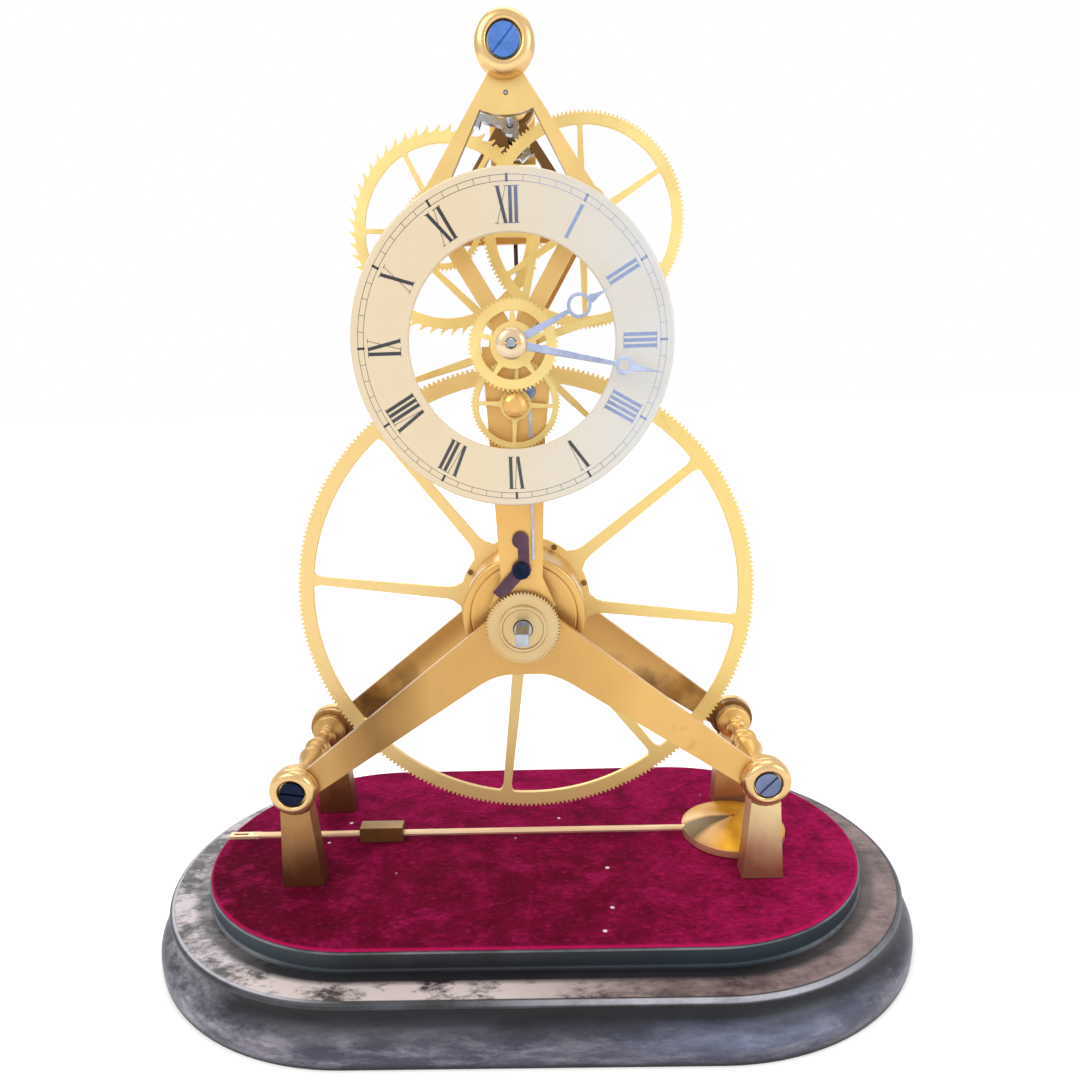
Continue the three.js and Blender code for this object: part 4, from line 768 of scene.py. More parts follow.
def edge_line(low, high, line):
    """The points of an edge given as (in from the edge, share of the height)"""
    return [(high.y - inset, low.z + (high.z - low.z) * up) for inset, up in line]


def dress_oval(node, name, edge, finish, steps=28, sharp=38):
    """An oval slab with a shaped edge, in place of a node of the stand"""
    low, high = node_box(node)
    bm = oval([(0, low.z), *edge, (0, high.z)], steps)
    return dress(node, name, bm, finish, sharp)


class SKELETONCLOCK_OT_stand(bpy.types.Operator):
    """Builds the moulded plinth, the ledge and the stage"""
    bl_idname = "skeleton_clock.stand"
    bl_label = "Stand"

    def execute(self, context):
        _, high = node_box("plinth")
        ledge = node_box("ledge_board")
        throat = ledge[1].y - THROAT_INSET
        ogee = [(throat + (high.y - throat) * out, high.z * up) for out, up in OGEE]
        dress_oval("plinth", "plinth_moulding", smooth_line(ogee, 3), "ebonised wood", sharp=50)
        dress_oval("ledge_board", "ledge_board_worn", smooth_line(edge_line(*ledge, NOSING), 3), "worn ledge")
        low, high = node_box("stage")
        edge = [(high.y - inset, low.z + up) for inset, up in STAGE_LIP]
        edge += [(high.y - inset, high.z - down) for inset, down in STAGE_TOP]
        dress_oval("stage", "stage_block", edge, "stage wall")
        return {"FINISHED"}


class SKELETONCLOCK_OT_velvet(bpy.types.Operator):
    """Lays the velvet cover on the stage"""
    bl_idname = "skeleton_clock.velvet"
    bl_label = "Velvet"

    def execute(self, context):
        low, high = node_box("velvet_cover")
        inner = [(high.y * share, high.z) for share in (0.97, 0.9, 0.75, 0.6, 0.45, 0.3, 0.15)]
        edge = edge_line(low, high, VELVET_ROLL) + inner
        cover = dress_oval("velvet_cover", "velvet_pile_cover", edge, "velvet", 40, 60)
        return {"FINISHED"}


# Plates, feet and pillars

PILLAR_BORE = 2.6  # radius of the bore in a pillar's ends and in its collars
SHANK = 2.3  # radius of a pillar screw's shank
SHANK_REACH = 15  # behind the collar
HEAD = 5.4  # radius of a pillar screw's head
RECESS = 5.9  # radius of a collar's recess
RECESS_SHARE = 0.62  # of a collar's depth
# Along half of a pillar: share of its length, radius
PILLAR_TURNING = (
    (0, 2.6), (0, 7.4), (0.012, 8), (0.03, 8), (0.042, 7.2), (0.05, 4.2), (0.075, 3.3), (0.105, 3.3),
    (0.118, 4.4), (0.13, 5), (0.15, 5.1), (0.17, 4.9), (0.18, 4), (0.19, 3.2), (0.21, 3.0), (0.26, 3.5),
    (0.32, 4.5), (0.37, 5.7), (0.405, 6.2), (0.43, 5.9), (0.447, 4.6), (0.455, 3.5), (0.462, 3.2),
    (0.468, 4.2), (0.482, 5.4), (0.5, 5.7))
# How far each pillar's screws are turned, in degrees, and the finish of the front one
PILLAR_SCREWS = {
    "left": (8, "dark blued steel"), "right": (-46, "slate blued steel"), "top": (-47, "blued steel"),
}


class SKELETONCLOCK_OT_plates(bpy.types.Operator):
    """Dresses both plates, the four feet and the cock with broken edges"""
    bl_idname = "skeleton_clock.plates"
    bl_label = "Plates and feet"

    def execute(self, context):
        finish_of = {"front_plate": "plate brass", "rear_plate": "rear brass"}
        for side in ("left", "right"):
            finish_of.update({f"{side}_{end}_foot": "foot brass" for end in ("front", "rear")})
        for node, finish in finish_of.items():
            dress(node, f"{node}_polished", cad_copy(node, size("edge_break")), finish)
        dress("suspension_cock", "suspension_cock_polished", cad_copy("suspension_cock", 0.25), "plate brass")
        return {"FINISHED"}


def screw_head(centre, radius, front, depth, slot_turn, slot_width=1.0, slot_depth=0.8, bevel=0.35):
    """A slotted head that faces the front: its back lies at front + depth"""
    bm = bmesh.new()
    bmesh.ops.create_circle(bm, cap_ends=True, segments=48, radius=radius)
    for side in (-1, 1):
        bmesh.ops.bisect_plane(
            bm, geom=everything(bm), dist=1e-5, plane_co=(0, side * slot_width / 2, 0), plane_no=(0, 1, 0))
    raised = bmesh.ops.extrude_face_region(bm, geom=bm.faces[:])["geom"]
    shifted(bm, raised, (0, 0, depth - slot_depth))
    faces = [part for part in raised if isinstance(part, bmesh.types.BMFace)]
    for land in [face for face in faces if abs(face.calc_center_median().y) > slot_width / 2]:
        shifted(bm, bmesh.ops.extrude_face_region(bm, geom=[land])["geom"], (0, 0, slot_depth))
        bmesh.ops.delete(bm, geom=[land], context="FACES")
    closed(bm)
    cleaned(bm)
    bevelled(bm, [e for e in bm.edges if all(v.co.z > depth - 1e-3 for v in e.verts)], bevel)
    rolled(bm, (0, 0, 0), 90, "X")
    rolled(bm, (0, 0, 0), slot_turn)
    bmesh.ops.translate(bm, verts=bm.verts, vec=(centre.x, front + depth, centre.z))
    return bm


def facing_back(bm, plane):
    """The same shape seen from behind: mirrored to face the other way about y = plane"""
    bmesh.ops.scale(bm, vec=(1, -1, 1), verts=bm.verts)
    bmesh.ops.translate(bm, verts=bm.verts, vec=(0, 2 * plane, 0))
    bmesh.ops.recalc_face_normals(bm, faces=bm.faces)
    return bm


def collar(centre, back, radius, depth):
    """A domed collar with a recess for the screw head; it faces the front from y = back"""
    rim_depth = depth * 0.34
    dome = smooth_line([(radius, back - rim_depth), (radius * 0.965, back - depth * 0.66),
                        (radius * 0.86, back - depth * 0.9), (radius * 0.7, back - depth)], 4)
    return turned([
        (PILLAR_BORE, back), (radius - 0.5, back), (radius, back - 0.5), (radius, back - rim_depth * 0.55),
        (radius - 0.35, back - rim_depth * 0.75), *dome,
        (radius * 0.62, back - depth), (RECESS + 0.1, back - depth + 0.5),
        (RECESS, back - depth * RECESS_SHARE), (PILLAR_BORE, back - depth * RECESS_SHARE)], centre, steps=72)


class SKELETONCLOCK_OT_pillars(bpy.types.Operator):
    """Turns the pillars and their collars, and sets the screws"""
    bl_idname = "skeleton_clock.pillars"
    bl_label = "Pillars, collars and screws"

    def execute(self, context):
        outer = [*PILLAR_TURNING, *((1 - share, radius) for share, radius in reversed(PILLAR_TURNING[:-1]))]
        rear = node_box("rear_plate")[1].y
        for name, (turn, finish) in PILLAR_SCREWS.items():
            low, high = node_box(f"{name}_pillar")
            centre = (low + high) / 2
            profile = [(radius, low.y + (high.y - low.y) * share) for share, radius in outer]
            bore = [(0, low.y + 1), (PILLAR_BORE, low.y + 1)], [(PILLAR_BORE, high.y - 1), (0, high.y - 1)]
            dress(f"{name}_pillar", f"{name}_pillar_turned", turned(
                [*bore[0], *profile, *bore[1]], centre, steps=56), "plate brass", sharp=50)

            low, high = node_box(f"{name}_front_collar")
            depth, radius = high.y - low.y, (high.x - low.x) / 2
            dress(f"{name}_front_collar", f"{name}_front_collar_turned",
                  collar(centre, high.y, radius, depth), "collar brass", sharp=50)
            head = screw_head(centre, HEAD, high.y - depth * 0.97, depth * 0.37, turn)
            shank = rod(centre, SHANK, high.y - depth * RECESS_SHARE, high.y + SHANK_REACH)
            dress(f"{name}_front_screw", f"{name}_front_screw_blued", together(head, shank), finish, sharp=30)

            ring = facing_back(collar(centre, 0, radius, depth), rear / 2)
            dress(f"{name}_rear_screw", f"{name}_rear_collar_turned", ring, "collar brass", sharp=50)
            head = facing_back(screw_head(centre, HEAD, -depth * 0.97, depth * 0.37, turn), rear / 2)
            body = BODY_OF[f"{name}_rear_screw"]
            piece(f"{name}_rear_screw_blued", head, "dark blued steel", body, sharp=30)
        return {"FINISHED"}


# Wheels and arbors

class Wheel(NamedTuple):
    """A crossed-out wheel; lengths in millimetres"""
    teeth: int
    tooth_depth: float
    rim_reach: float  # from the teeth's tips in to the rim's inner edge
    hub: float
    bore: float
    spoke_at_hub: float
    spoke_at_rim: float
    thickness: float
    spokes: int
    spoke_turn: float  # degrees against the clock from the right
    flare: float = 0.8
    tooth_share: float = 0.5
    finish: str = "wheel brass"


WHEELS = {
    "great_wheel": Wheel(300, 1.7, 6.2, 29.6, 4.25, 5.4, 4, 2.2, 8, -7, 2.6, 0.56, "great wheel brass"),
    "centre_wheel": Wheel(160, 1.1, 5, 6.5, 2.0, 3.4, 2.1, 1.5, 6, 16),
    "third_wheel": Wheel(150, 0.95, 5, 5.2, 1.6, 3.2, 1.9, 1.5, 6, 31),
    "escape_driven_wheel": Wheel(60, 0.95, 3, 4.6, 1.3, 2.6, 1.8, 1.5, 6, 0),
    "escape_wheel": Wheel(54, 2.5, 6.8, 5, 1.2, 2.8, 1.8, 1.5, 6, -3),
    "hour_wheel": Wheel(60, 0.9, 4.6, 8.4, 2.9, 2.2, 1.5, 1.4, 5, 90, 0.5),
    "minute_wheel": Wheel(72, 0.75, 3, 5.9, 3.0, 1.9, 1.3, 1.4, 4, -4, 0.4),
}
SPOKE_SINK = 1.2  # how far a spoke runs into the hub
RATCHET_TEETH = 65
HUB_SCREWS, HUB_SCREW_CIRCLE = 8, 27.9  # round the great wheel's hub
SQUARE_HALF, SQUARE_REACH = 2.6, 5.9  # the winding square: half its width, how far it ends before the plate
PIVOT = 0.6  # radius of the arbors' pivots
SHOULDER_GAP = 0.5  # between an arbor's shoulder and the plate
COLLET = 3.2  # radius of the collets that carry the wheels


def tooth_points(root, tip, half_base):
    """One rounded tooth, pointing up the Z axis"""
    depth = tip - root
    side = [(half_base, root - depth * 0.4), (half_base, root + depth * 0.25),
            (half_base * 0.82, root + depth * 0.6), (half_base * 0.42, tip - depth * 0.06)]
    return [(-half, up) for half, up in side] + side[::-1]


def teeth(centre, front, back, points, count, turn=0.0):
    bm = prism([(x + centre.x, z + centre.z) for x, z in points], front, back)
    return around(rolled(bm, centre, turn), centre, count)


def spokes(centre, front, back, rim_inner, wheel, edge):
    """Tapered spokes that flare into the hub and the rim"""
    hub, flare = wheel.hub, wheel.flare
    length = rim_inner - hub
    at_hub, at_rim = wheel.spoke_at_hub / 2, wheel.spoke_at_rim / 2
    side = [
        (hub - SPOKE_SINK, at_hub + flare * 1.25), (hub + 0.012 * length, at_hub + flare * 0.8),
        (hub + 0.04 * length, at_hub + flare * 0.3), (hub + 0.09 * length, at_hub),
        (rim_inner - 0.05 * length, at_rim), (rim_inner - 0.015 * length, at_rim + flare * 0.22),
        (rim_inner + 0.1, at_rim + flare * 0.62), (rim_inner + SPOKE_SINK * 0.6, at_rim + flare * 0.62)]
    points = [(centre.x + r, centre.z + w) for r, w in side]
    points += [(centre.x + r, centre.z - w) for r, w in reversed(side)]
    bm = prism(points, front + 0.03, back - 0.03, edge)
    return around(rolled(bm, centre, -wheel.spoke_turn), centre, wheel.spokes)


def crossed_wheel(node, centre, tooth_turn=0.0, shape=None, extra=(), wheel=None):
    """Cuts a wheel's teeth and crosses it out; it keeps the back of its node"""
    wheel = wheel or WHEELS[node]
    back = node_box(node)[1].y
    front = back - wheel.thickness
    tip = half_width(node)
    root, rim_inner = tip - wheel.tooth_depth, tip - wheel.rim_reach
    points = shape or tooth_points(root, tip, math.pi * root / wheel.teeth * wheel.tooth_share)
    edge = size("wheel_edge")
    bm = together(
        teeth(centre, front + edge * 0.6, back - edge * 0.6, points, wheel.teeth, tooth_turn),
        rim(centre, front, back, rim_inner, root, edge, 180 if tip > 60 else 120),
        rim(centre, front, back, wheel.bore, wheel.hub, edge, 64),
        spokes(centre, front, back, rim_inner, wheel, edge), *extra)
    return dress(node, f"{node}_cut", bm, wheel.finish, sharp=32)


def leaves(centre, front, back, tip, count, turn):
    """A pinion's leaves with the core between them"""
    module = tip / (count / 2 + 0.6)
    root = count / 2 * module - 1.5 * module
    return together(
        teeth(centre, front, back, tooth_points(root, tip, module * 0.72), count, turn),
        rod(centre, root + 0.1, front, back, 48))


class SKELETONCLOCK_OT_great_wheel(bpy.types.Operator):
    """Cuts the great wheel and turns the barrel and its arbor"""
    bl_idname = "skeleton_clock.great_wheel"
    bl_label = "Great wheel and barrel"

    def execute(self, context):
        centre = arbor_of("great_wheel_turn")
        # Its depth of tooth is given in modules, and its rim's reach from the teeth's roots
        wheel = WHEELS["great_wheel"]._replace(teeth=sizes().great_teeth)
        depth = wheel.tooth_depth * half_width("great_wheel") / (wheel.teeth / 2 + 0.6)
        wheel = wheel._replace(tooth_depth=depth, rim_reach=depth + wheel.rim_reach)
        crossed_wheel("great_wheel", centre, wheel=wheel)

        low, high = node_box("barrel_drum")
        radius, bore = half_width("barrel_drum"), wheel.bore
        drum = turned([
            (bore, low.y + 0.4), (9.5, low.y + 0.4), (10, low.y), (radius - 4.2, low.y),
            (radius - 3.9, low.y + 0.3), (radius - 3.5, low.y + 0.3), (radius - 3.2, low.y),
            (radius - 0.8, low.y), (radius, low.y + 0.8), (radius, high.y), (radius - 1.6, high.y),
            (radius - 1.6, low.y + 2), (bore, low.y + 2)], centre, steps=120)
        dress("barrel_drum", "barrel_drum_turned", drum, "drum brass", sharp=50)
        back = node_box("great_wheel")[0].y
        for i in range(HUB_SCREWS):
            angle = (i + 0.5) * FULL_TURN / HUB_SCREWS - math.radians(wheel.spoke_turn)
            place = centre + Vector((math.sin(angle), 0, math.cos(angle))) * HUB_SCREW_CIRCLE
            head = screw_head(place, 1.25, back - 0.9, 1.1, 37 * i, 0.35, 0.35, 0.12)
            piece(f"great_wheel_screw_{i + 1}", head, "block brass", BODY_OF["great_wheel"], sharp=30)

        low, high = node_box("winding_arbor")
        half = Vector((SQUARE_HALF, 0, SQUARE_HALF))
        square_back = node_box("front_plate")[0].y - SQUARE_REACH
        square = block(centre - half + AXES["Y"] * low.y, centre + half + AXES["Y"] * square_back, 0.35)
        back_plate = node_box("rear_plate")[0].y
        shaft = turned([
            (0, square_back - 0.2), (3.5, square_back - 0.2), (3.8, square_back + 0.3),
            (3.8, back_plate - 0.6), (2.2, back_plate - 0.5), (2.2, high.y - 0.3), (1.9, high.y),
            (0, high.y)], centre, steps=40)
        dress("winding_arbor", "winding_arbor_turned", together(square, shaft), "steel", sharp=30)
        return {"FINISHED"}


class SKELETONCLOCK_OT_ratchet_work(bpy.types.Operator):
    """Cuts the ratchet wheel, the click and its spring"""
    bl_idname = "skeleton_clock.ratchet_work"
    bl_label = "Ratchet work"

    def execute(self, context):
        centre = arbor_of("winding_arbor_turn")
        low, high = node_box("ratchet_wheel")
        radius, bore = 15.2, 4.1
        boss, front, back = low.y, high.y - 2.2, high.y
        disc = turned([
            (bore, back), (radius - 1.3, back), (radius - 1.3, front + 0.15), (radius - 1.45, front),
            (9.8, front), (9.8, boss + 0.3), (9.5, boss), (8.5, boss), (8.2, boss + 0.3), (8.2, boss + 0.6),
            (bore, boss + 0.6)], centre, steps=120)
        half = math.pi * radius / RATCHET_TEETH
        saw = [(-half, radius - 1.6), (-half * 0.95, radius - 1.2), (-half * 0.75, radius),
               (-half * 0.55, radius), (half, radius - 1.2), (half, radius - 1.6)]
        saws = teeth(centre, front + 0.1, back - 0.1, saw, RATCHET_TEETH)
        dress("ratchet_wheel", "ratchet_wheel_cut", together(disc, saws), "ratchet brass", sharp=40)

        dress("click", "click_forged", cad_copy("click", 0.3), "click steel", sharp=30)
        low, high = node_box("click_spring")
        radius = (high.x - low.x) / 2
        eye = Vector(((low.x + high.x) / 2, 0, high.z - radius))
        blade = prism([(eye.x - 0.75, eye.z), (eye.x - 0.95, low.z), (eye.x + 0.15, low.z),
                       (eye.x + 0.75, eye.z)], low.y, high.y, 0.15)
        ring = turned([(1.25, low.y), (radius - 0.15, low.y), (radius, low.y + 0.15), (radius, high.y),
                       (1.25, high.y)], eye, steps=40)
        dress("click_spring", "click_spring_polished", together(blade, ring), "steel")
        for node, radius, depth, turn, finish in (
                ("click_screw", 3.4, 1.8, 58, "dark blued steel"),
                ("click_spring_screw", 2.3, 1.3, -30, "slate blued steel")):
            low, high = node_box(node)
            place = middle_of(node)
            head = screw_head(place, radius, low.y, depth, turn, 0.8, 0.6, 0.3)
            shank = rod(place, 1.2, low.y + depth, high.y, 20)
            dress(node, f"{node}_blued", together(head, shank), finish, sharp=30)
        return {"FINISHED"}


def arbor_shape(node, centre, radius, wheel):
    """An arbor with its pivots and, behind its wheel, the collet that carries the wheel"""
    low, high = node_box(node)
    inner_front = node_box("front_plate")[1].y + SHOULDER_GAP
    inner_back = node_box("rear_plate")[0].y - SHOULDER_GAP
    collet = node_box(wheel)[1].y + 0.2
    return turned([
        (0, low.y), (PIVOT, low.y), (PIVOT, inner_front), (radius, inner_front + 0.2), (radius, collet),
        (COLLET - 0.3, collet), (COLLET, collet + 0.3), (COLLET, collet + 1.8), (COLLET - 0.6, collet + 2.4),
        (radius, collet + 2.4), (radius, inner_back - 0.2), (PIVOT, inner_back), (PIVOT, high.y),
        (0, high.y)], centre, steps=32)


class SKELETONCLOCK_OT_train(bpy.types.Operator):
    """Cuts the centre, third and escape wheels and turns their arbors"""
    bl_idname = "skeleton_clock.train"
    bl_label = "Going train"

    def execute(self, context):
        centre = arbor_of("centre_arbor_turn")
        third = arbor_of("third_arbor_turn")
        escape = arbor_of("escape_arbor_turn")
        direction = math.degrees(math.atan2(third.z - centre.z, third.x - centre.x))
        crossed_wheel("centre_wheel", centre, 90 - direction)
        crossed_wheel("third_wheel", third, -90)
        crossed_wheel("escape_driven_wheel", escape, 3)
        tip, depth = half_width("escape_wheel"), WHEELS["escape_wheel"].tooth_depth
        root = tip - depth
        half = math.pi * root / WHEELS["escape_wheel"].teeth
        hook = [(-half * 0.62, root - 0.6), (-half * 0.62, root), (-half * 0.1, root + depth * 0.25),
                (half * 0.45, root + depth * 0.62), (half * 0.78, tip - 0.02), (half * 0.9, tip - 0.02),
                (half * 0.8, root + depth * 0.5), (half * 0.55, root), (half * 0.55, root - 0.6)]
        crossed_wheel("escape_wheel", escape, 90, hook)

        low, high = node_box("centre_arbor")
        great, wheel = node_box("great_wheel"), node_box("centre_wheel")
        rear, seat, leaf_count = node_box("rear_plate")[0].y, wheel[1].y + 0.3, sizes().centre_leaves
        shaft = turned([
            (0, low.y), (1.2, low.y), (1.6, low.y + 0.4), (1.6, seat), (COLLET, seat), (COLLET, seat + 1.8),
            (COLLET - 0.6, seat + 2.4), (1.6, seat + 2.4), (1.6, rear - 0.6), (PIVOT, rear - SHOULDER_GAP),
            (PIVOT, high.y), (0, high.y)], centre, steps=32)
        pinion = leaves(centre, great[0].y - 2.2, great[0].y + 4.4, half_width("centre_arbor"), leaf_count,
                        180 + 180 / leaf_count)
        dress("centre_arbor", "centre_arbor_turned", together(shaft, pinion), "steel", sharp=30)

        small = leaves(third, wheel[0].y - 2.2, wheel[1].y + 2.2, 2.35, 6, 90 - direction - 180 + 30)
        shaft = arbor_shape("third_arbor", third, 1.2, "third_wheel")
        dress("third_arbor", "third_arbor_turned", together(shaft, small), "steel", sharp=30)
        shaft = arbor_shape("escape_arbor", escape, 0.9, "escape_wheel")
        dress("escape_arbor", "escape_arbor_turned", shaft, "steel", sharp=30)
        return {"FINISHED"}


class SKELETONCLOCK_OT_motion_work(bpy.types.Operator):
    """Cuts the minute wheel and the hour wheel with its pipe"""
    bl_idname = "skeleton_clock.motion_work"
    bl_label = "Motion work"

    def execute(self, context):
        centre = arbor_of("centre_arbor_turn")
        low, high = node_box("hour_wheel")
        pipe = sleeve(centre, 2.8, 3.5, low.y, high.y - 0.2, 40)
        crossed_wheel("hour_wheel", centre, 3, extra=(pipe,))
        crossed_wheel("minute_wheel", arbor_of("minute_wheel_turn"))
        return {"FINISHED"}


# The dial and the hands

DIAL_OPENING = 36.1
TRACK_LINE = 0.15  # width of the minute track's fine lines
HOUR_MARK = 0.85  # width of the track's marks at the hours
HOUR_MARK_REACH = 0.28  # past the track's circles
INK_BACK, INK_FRONT = 0.02, -0.045  # from the dial's face
# Each stroke of a numeral stands this much prouder than the last, so that no two share a face
INK_STEP = 0.004
HOURS = ("XII", "I", "II", "III", "IIII", "V", "VI", "VII", "VIII", "IX", "X", "XI")


def radial_bar(points, centre, turn, front, back):
    """A flat stroke in the ring's own axes, (across, outwards), turned clockwise from twelve"""
    bm = prism([(centre.x + across, centre.z + out) for across, out in points], front, back)
    return rolled(bm, centre, turn)


def slanted(a, b, width):
    """The corners of a stroke from a to b with flat ends"""
    half = width / 2
    return [(a[0] - half, a[1]), (b[0] - half, b[1]), (b[0] + half, b[1]), (a[0] + half, a[1])]


def numeral(text, foot, top, broad, fine):
    """The strokes of a Roman numeral, centred: lists of corners"""
    width_of = {"I": broad * 1.62, "V": broad * 3.1, "X": broad * 3.3}
    serif = broad * 0.86  # how far the serif of a broad stroke reaches to each side
    at = -sum(width_of[letter] for letter in text) / 2
    strokes = []

    def serifs(places, low):
        start = foot if low else top - fine
        strokes.extend(slanted((x, start), (x, start + fine), 2 * reach) for x, reach in places)

    for letter in text:
        width = width_of[letter]
        left, mid, right = at + broad * 0.35, at + width / 2, at + width - broad * 0.35
        if letter == "I":
            strokes.append(slanted((mid, foot), (mid, top), broad))
            serifs([(mid, serif)], True)
            serifs([(mid, serif)], False)
        elif letter == "V":
            low = at + width * 0.56
            strokes.append(slanted((low, foot), (left + broad * 0.2, top), broad))
            strokes.append(slanted((low + broad * 0.3, foot), (right, top), fine))
            serifs([(left + broad * 0.2, serif), (right, broad * 0.55)], False)
        else:
            strokes.append(slanted((right - broad * 0.2, foot), (left + broad * 0.2, top), broad))
            strokes.append(slanted((left, foot), (right, top), fine))
            serifs([(right - broad * 0.2, serif), (left, broad * 0.6)], True)
            serifs([(left + broad * 0.2, serif), (right, broad * 0.6)], False)
        at += width
    return strokes


class SKELETONCLOCK_OT_dial(bpy.types.Operator):
    """Makes the chapter ring, its numerals and track, and the dial posts"""
    bl_idname = "skeleton_clock.dial"
    bl_label = "Dial"

    def execute(self, context):
        centre = arbor_of("centre_arbor_turn")
        low, high = node_box("chapter_ring")
        outer = half_width("chapter_ring")
        ring = turned([
            (DIAL_OPENING, low.y + 0.35), (DIAL_OPENING + 0.35, low.y), (outer - 0.7, low.y),
            (outer - 0.2, low.y + 0.25), (outer, low.y + 0.6), (outer, high.y), (DIAL_OPENING, high.y)],
            centre, steps=180)
        dress("chapter_ring", "chapter_ring_silvered", ring, "silvered dial")

        back, front = low.y + INK_BACK, low.y + INK_FRONT
        body = BODY_OF["chapter_ring"]
        track = (size("track_outer"), size("track_inner"))
        half = TRACK_LINE / 2
        parts = [sleeve(centre, radius - half, radius + half, front, back, 180) for radius in track]
        for minute in range(60):
            wide, reach = (TRACK_LINE, 0) if minute % 5 else (HOUR_MARK, HOUR_MARK_REACH)
            mark = slanted((0, track[1] - reach), (0, track[0] + reach), wide)
            parts.append(radial_bar(mark, centre, 6 * minute, front, back))
        piece("minute_track", together(*parts), "ink", body)
        shape = [size(name) for name in ("numeral_foot", "numeral_top", "stroke", "hairline")]
        for hour, text in enumerate(HOURS):
            parts = [radial_bar(stroke, centre, 30 * hour, front - INK_STEP * i, back)
                     for i, stroke in enumerate(numeral(text, *shape))]
            piece(f"numeral_{hour or 12}", together(*parts), "ink", body)

        plate = node_box("front_plate")[0].y
        for node in ("lower_dial_post", "left_dial_post", "right_dial_post"):
            low, high = node_box(node)
            radius = half_width(node)
            dress(node, f"{node}_turned", turned([
                (0, low.y), (radius - 0.2, low.y), (radius - 0.2, low.y + 1.5), (radius - 0.7, low.y + 2.2),
                (radius - 0.7, plate - 3), (radius, plate - 2.2), (radius, plate), (1.3, plate),
                (1.3, high.y), (0, high.y)], middle_of(node), steps=32), "plate brass")
        return {"FINISHED"}


class Hand(NamedTuple):
    """A hand with an open ring; lengths in millimetres"""
    turn: float  # degrees clockwise from twelve
    length: float
    ring_at: float  # from the centre to the ring's middle
    ring: float  # the ring's outer radius
    root: float  # width of the shaft at the eye
    tip: float  # width of the shaft at the ring
    eye: float  # the eye's outer radius
    bore: float


HANDS = {
    "hour_hand": Hand(63.4, 37, 26.2, 4.2, 3, 1.5, 5.2, 3.8),
    "minute_hand": Hand(102.2, 51.5, 39.4, 3.1, 3, 1.4, 4, 2.65),
}
HAND_THICKNESS = 0.8
HAND_RING_WIDTH = 1.15
# Half of a hand's point: half width, share of the way from the ring to the tip
HAND_POINT = ((0.7, 0), (1.5, 0.14), (0.75, 0.45), (0.22, 1))


def hand_shape(hand, centre, front):
    """A hand that points to its turn, with its ring, its eye and its leaf-shaped point"""
    back = front + HAND_THICKNESS
    ring_start = hand.ring_at - hand.ring + 0.4
    shaft = [(-hand.root / 2, hand.eye - 1), (-hand.tip / 2, ring_start), (hand.tip / 2, ring_start),
             (hand.root / 2, hand.eye - 1)]
    start = hand.ring_at + hand.ring - 0.5
    side = [(half, start + (hand.length - start) * share) for half, share in HAND_POINT]
    point = [(-half, up) for half, up in side] + side[::-1]
    flats = [prism([(centre.x + x, centre.z + z) for x, z in corners], front + 0.02, back - 0.02, bevel)
             for corners, bevel in ((shaft, 0.12), (point, 0.1))]
    middle = centre + AXES["Z"] * hand.ring_at
    loop = rim(middle, front, back, hand.ring - HAND_RING_WIDTH, hand.ring, 0.12, 56)
    boss = turned([(hand.bore, front), (hand.eye - 0.15, front), (hand.eye, front + 0.15), (hand.eye, back),
                   (hand.bore, back)], centre, steps=56)
    return rolled(together(*flats, loop, boss), centre, hand.turn)


class SKELETONCLOCK_OT_hands(bpy.types.Operator):
    """Makes both hands, their collet and pin"""
    bl_idname = "skeleton_clock.hands"
    bl_label = "Hands"

    def execute(self, context):
        centre = arbor_of("centre_arbor_turn")
        for node, hand in HANDS.items():
            shape = hand_shape(hand, centre, node_box(node)[0].y)
            dress(node, f"{node}_polished", shape, "hand steel")
        low, high = node_box("hand_collet")
        radius, depth = half_width("hand_collet"), high.y - low.y
        dome = smooth_line([(radius, high.y - depth * 0.3), (radius * 0.93, high.y - depth * 0.62),
                            (radius * 0.7, high.y - depth * 0.9), (radius * 0.45, low.y)], 4)
        dress("hand_collet", "hand_collet_domed", turned(
            [(1.9, high.y), (radius - 0.2, high.y), (radius, high.y - 0.3), *dome, (1.9, low.y)],
            centre, steps=64), "dial brass", sharp=60)
        low, high = node_box("hand_pin")
        radius = (high.y - low.y) / 2
        dress("hand_pin", "hand_pin_tapered", turned([
            (0, low.x), (radius * 0.7, low.x), (radius * 0.8, low.x + 0.3), (radius, high.x - 0.2),
            (radius * 0.8, high.x), (0, high.x)], middle_of("hand_pin"), "X", steps=16), "plate brass")
        return {"FINISHED"}


# Escapement and pendulum

EDGE_BREAKS = {
    "anchor": (0.25, "steel"), "crutch": (0.2, "click steel"), "suspension_spring": (0.1, "steel"),
    "pendulum_block": (0.45, "block brass"), "pendulum_rod": (0.15, "rod brass"),
}
BOB_RIM = 3.6  # height of the bob's straight rim


def polish(*nodes):
    """Dresses nodes in their own shapes with broken edges"""
    for node in nodes:
        width, finish = EDGE_BREAKS[node]
        dress(node, f"{node}_polished", cad_copy(node, width), finish)


class SKELETONCLOCK_OT_escapement(bpy.types.Operator):
    """Dresses the anchor, its arbor, the crutch and the suspension"""
    bl_idname = "skeleton_clock.escapement"
    bl_label = "Escapement"

    def execute(self, context):
        polish("anchor", "crutch", "suspension_spring")
        low, high = node_box("pallet_arbor")
        inner = node_box("front_plate")[1].y + SHOULDER_GAP
        dress("pallet_arbor", "pallet_arbor_turned", turned([
            (0, low.y), (PIVOT, low.y), (PIVOT, inner), (1.2, inner + 0.2), (1.2, high.y - 3.1),
            (PIVOT, high.y - 3.0), (PIVOT, high.y), (0, high.y)], (low + high) / 2, steps=28), "steel")
        return {"FINISHED"}


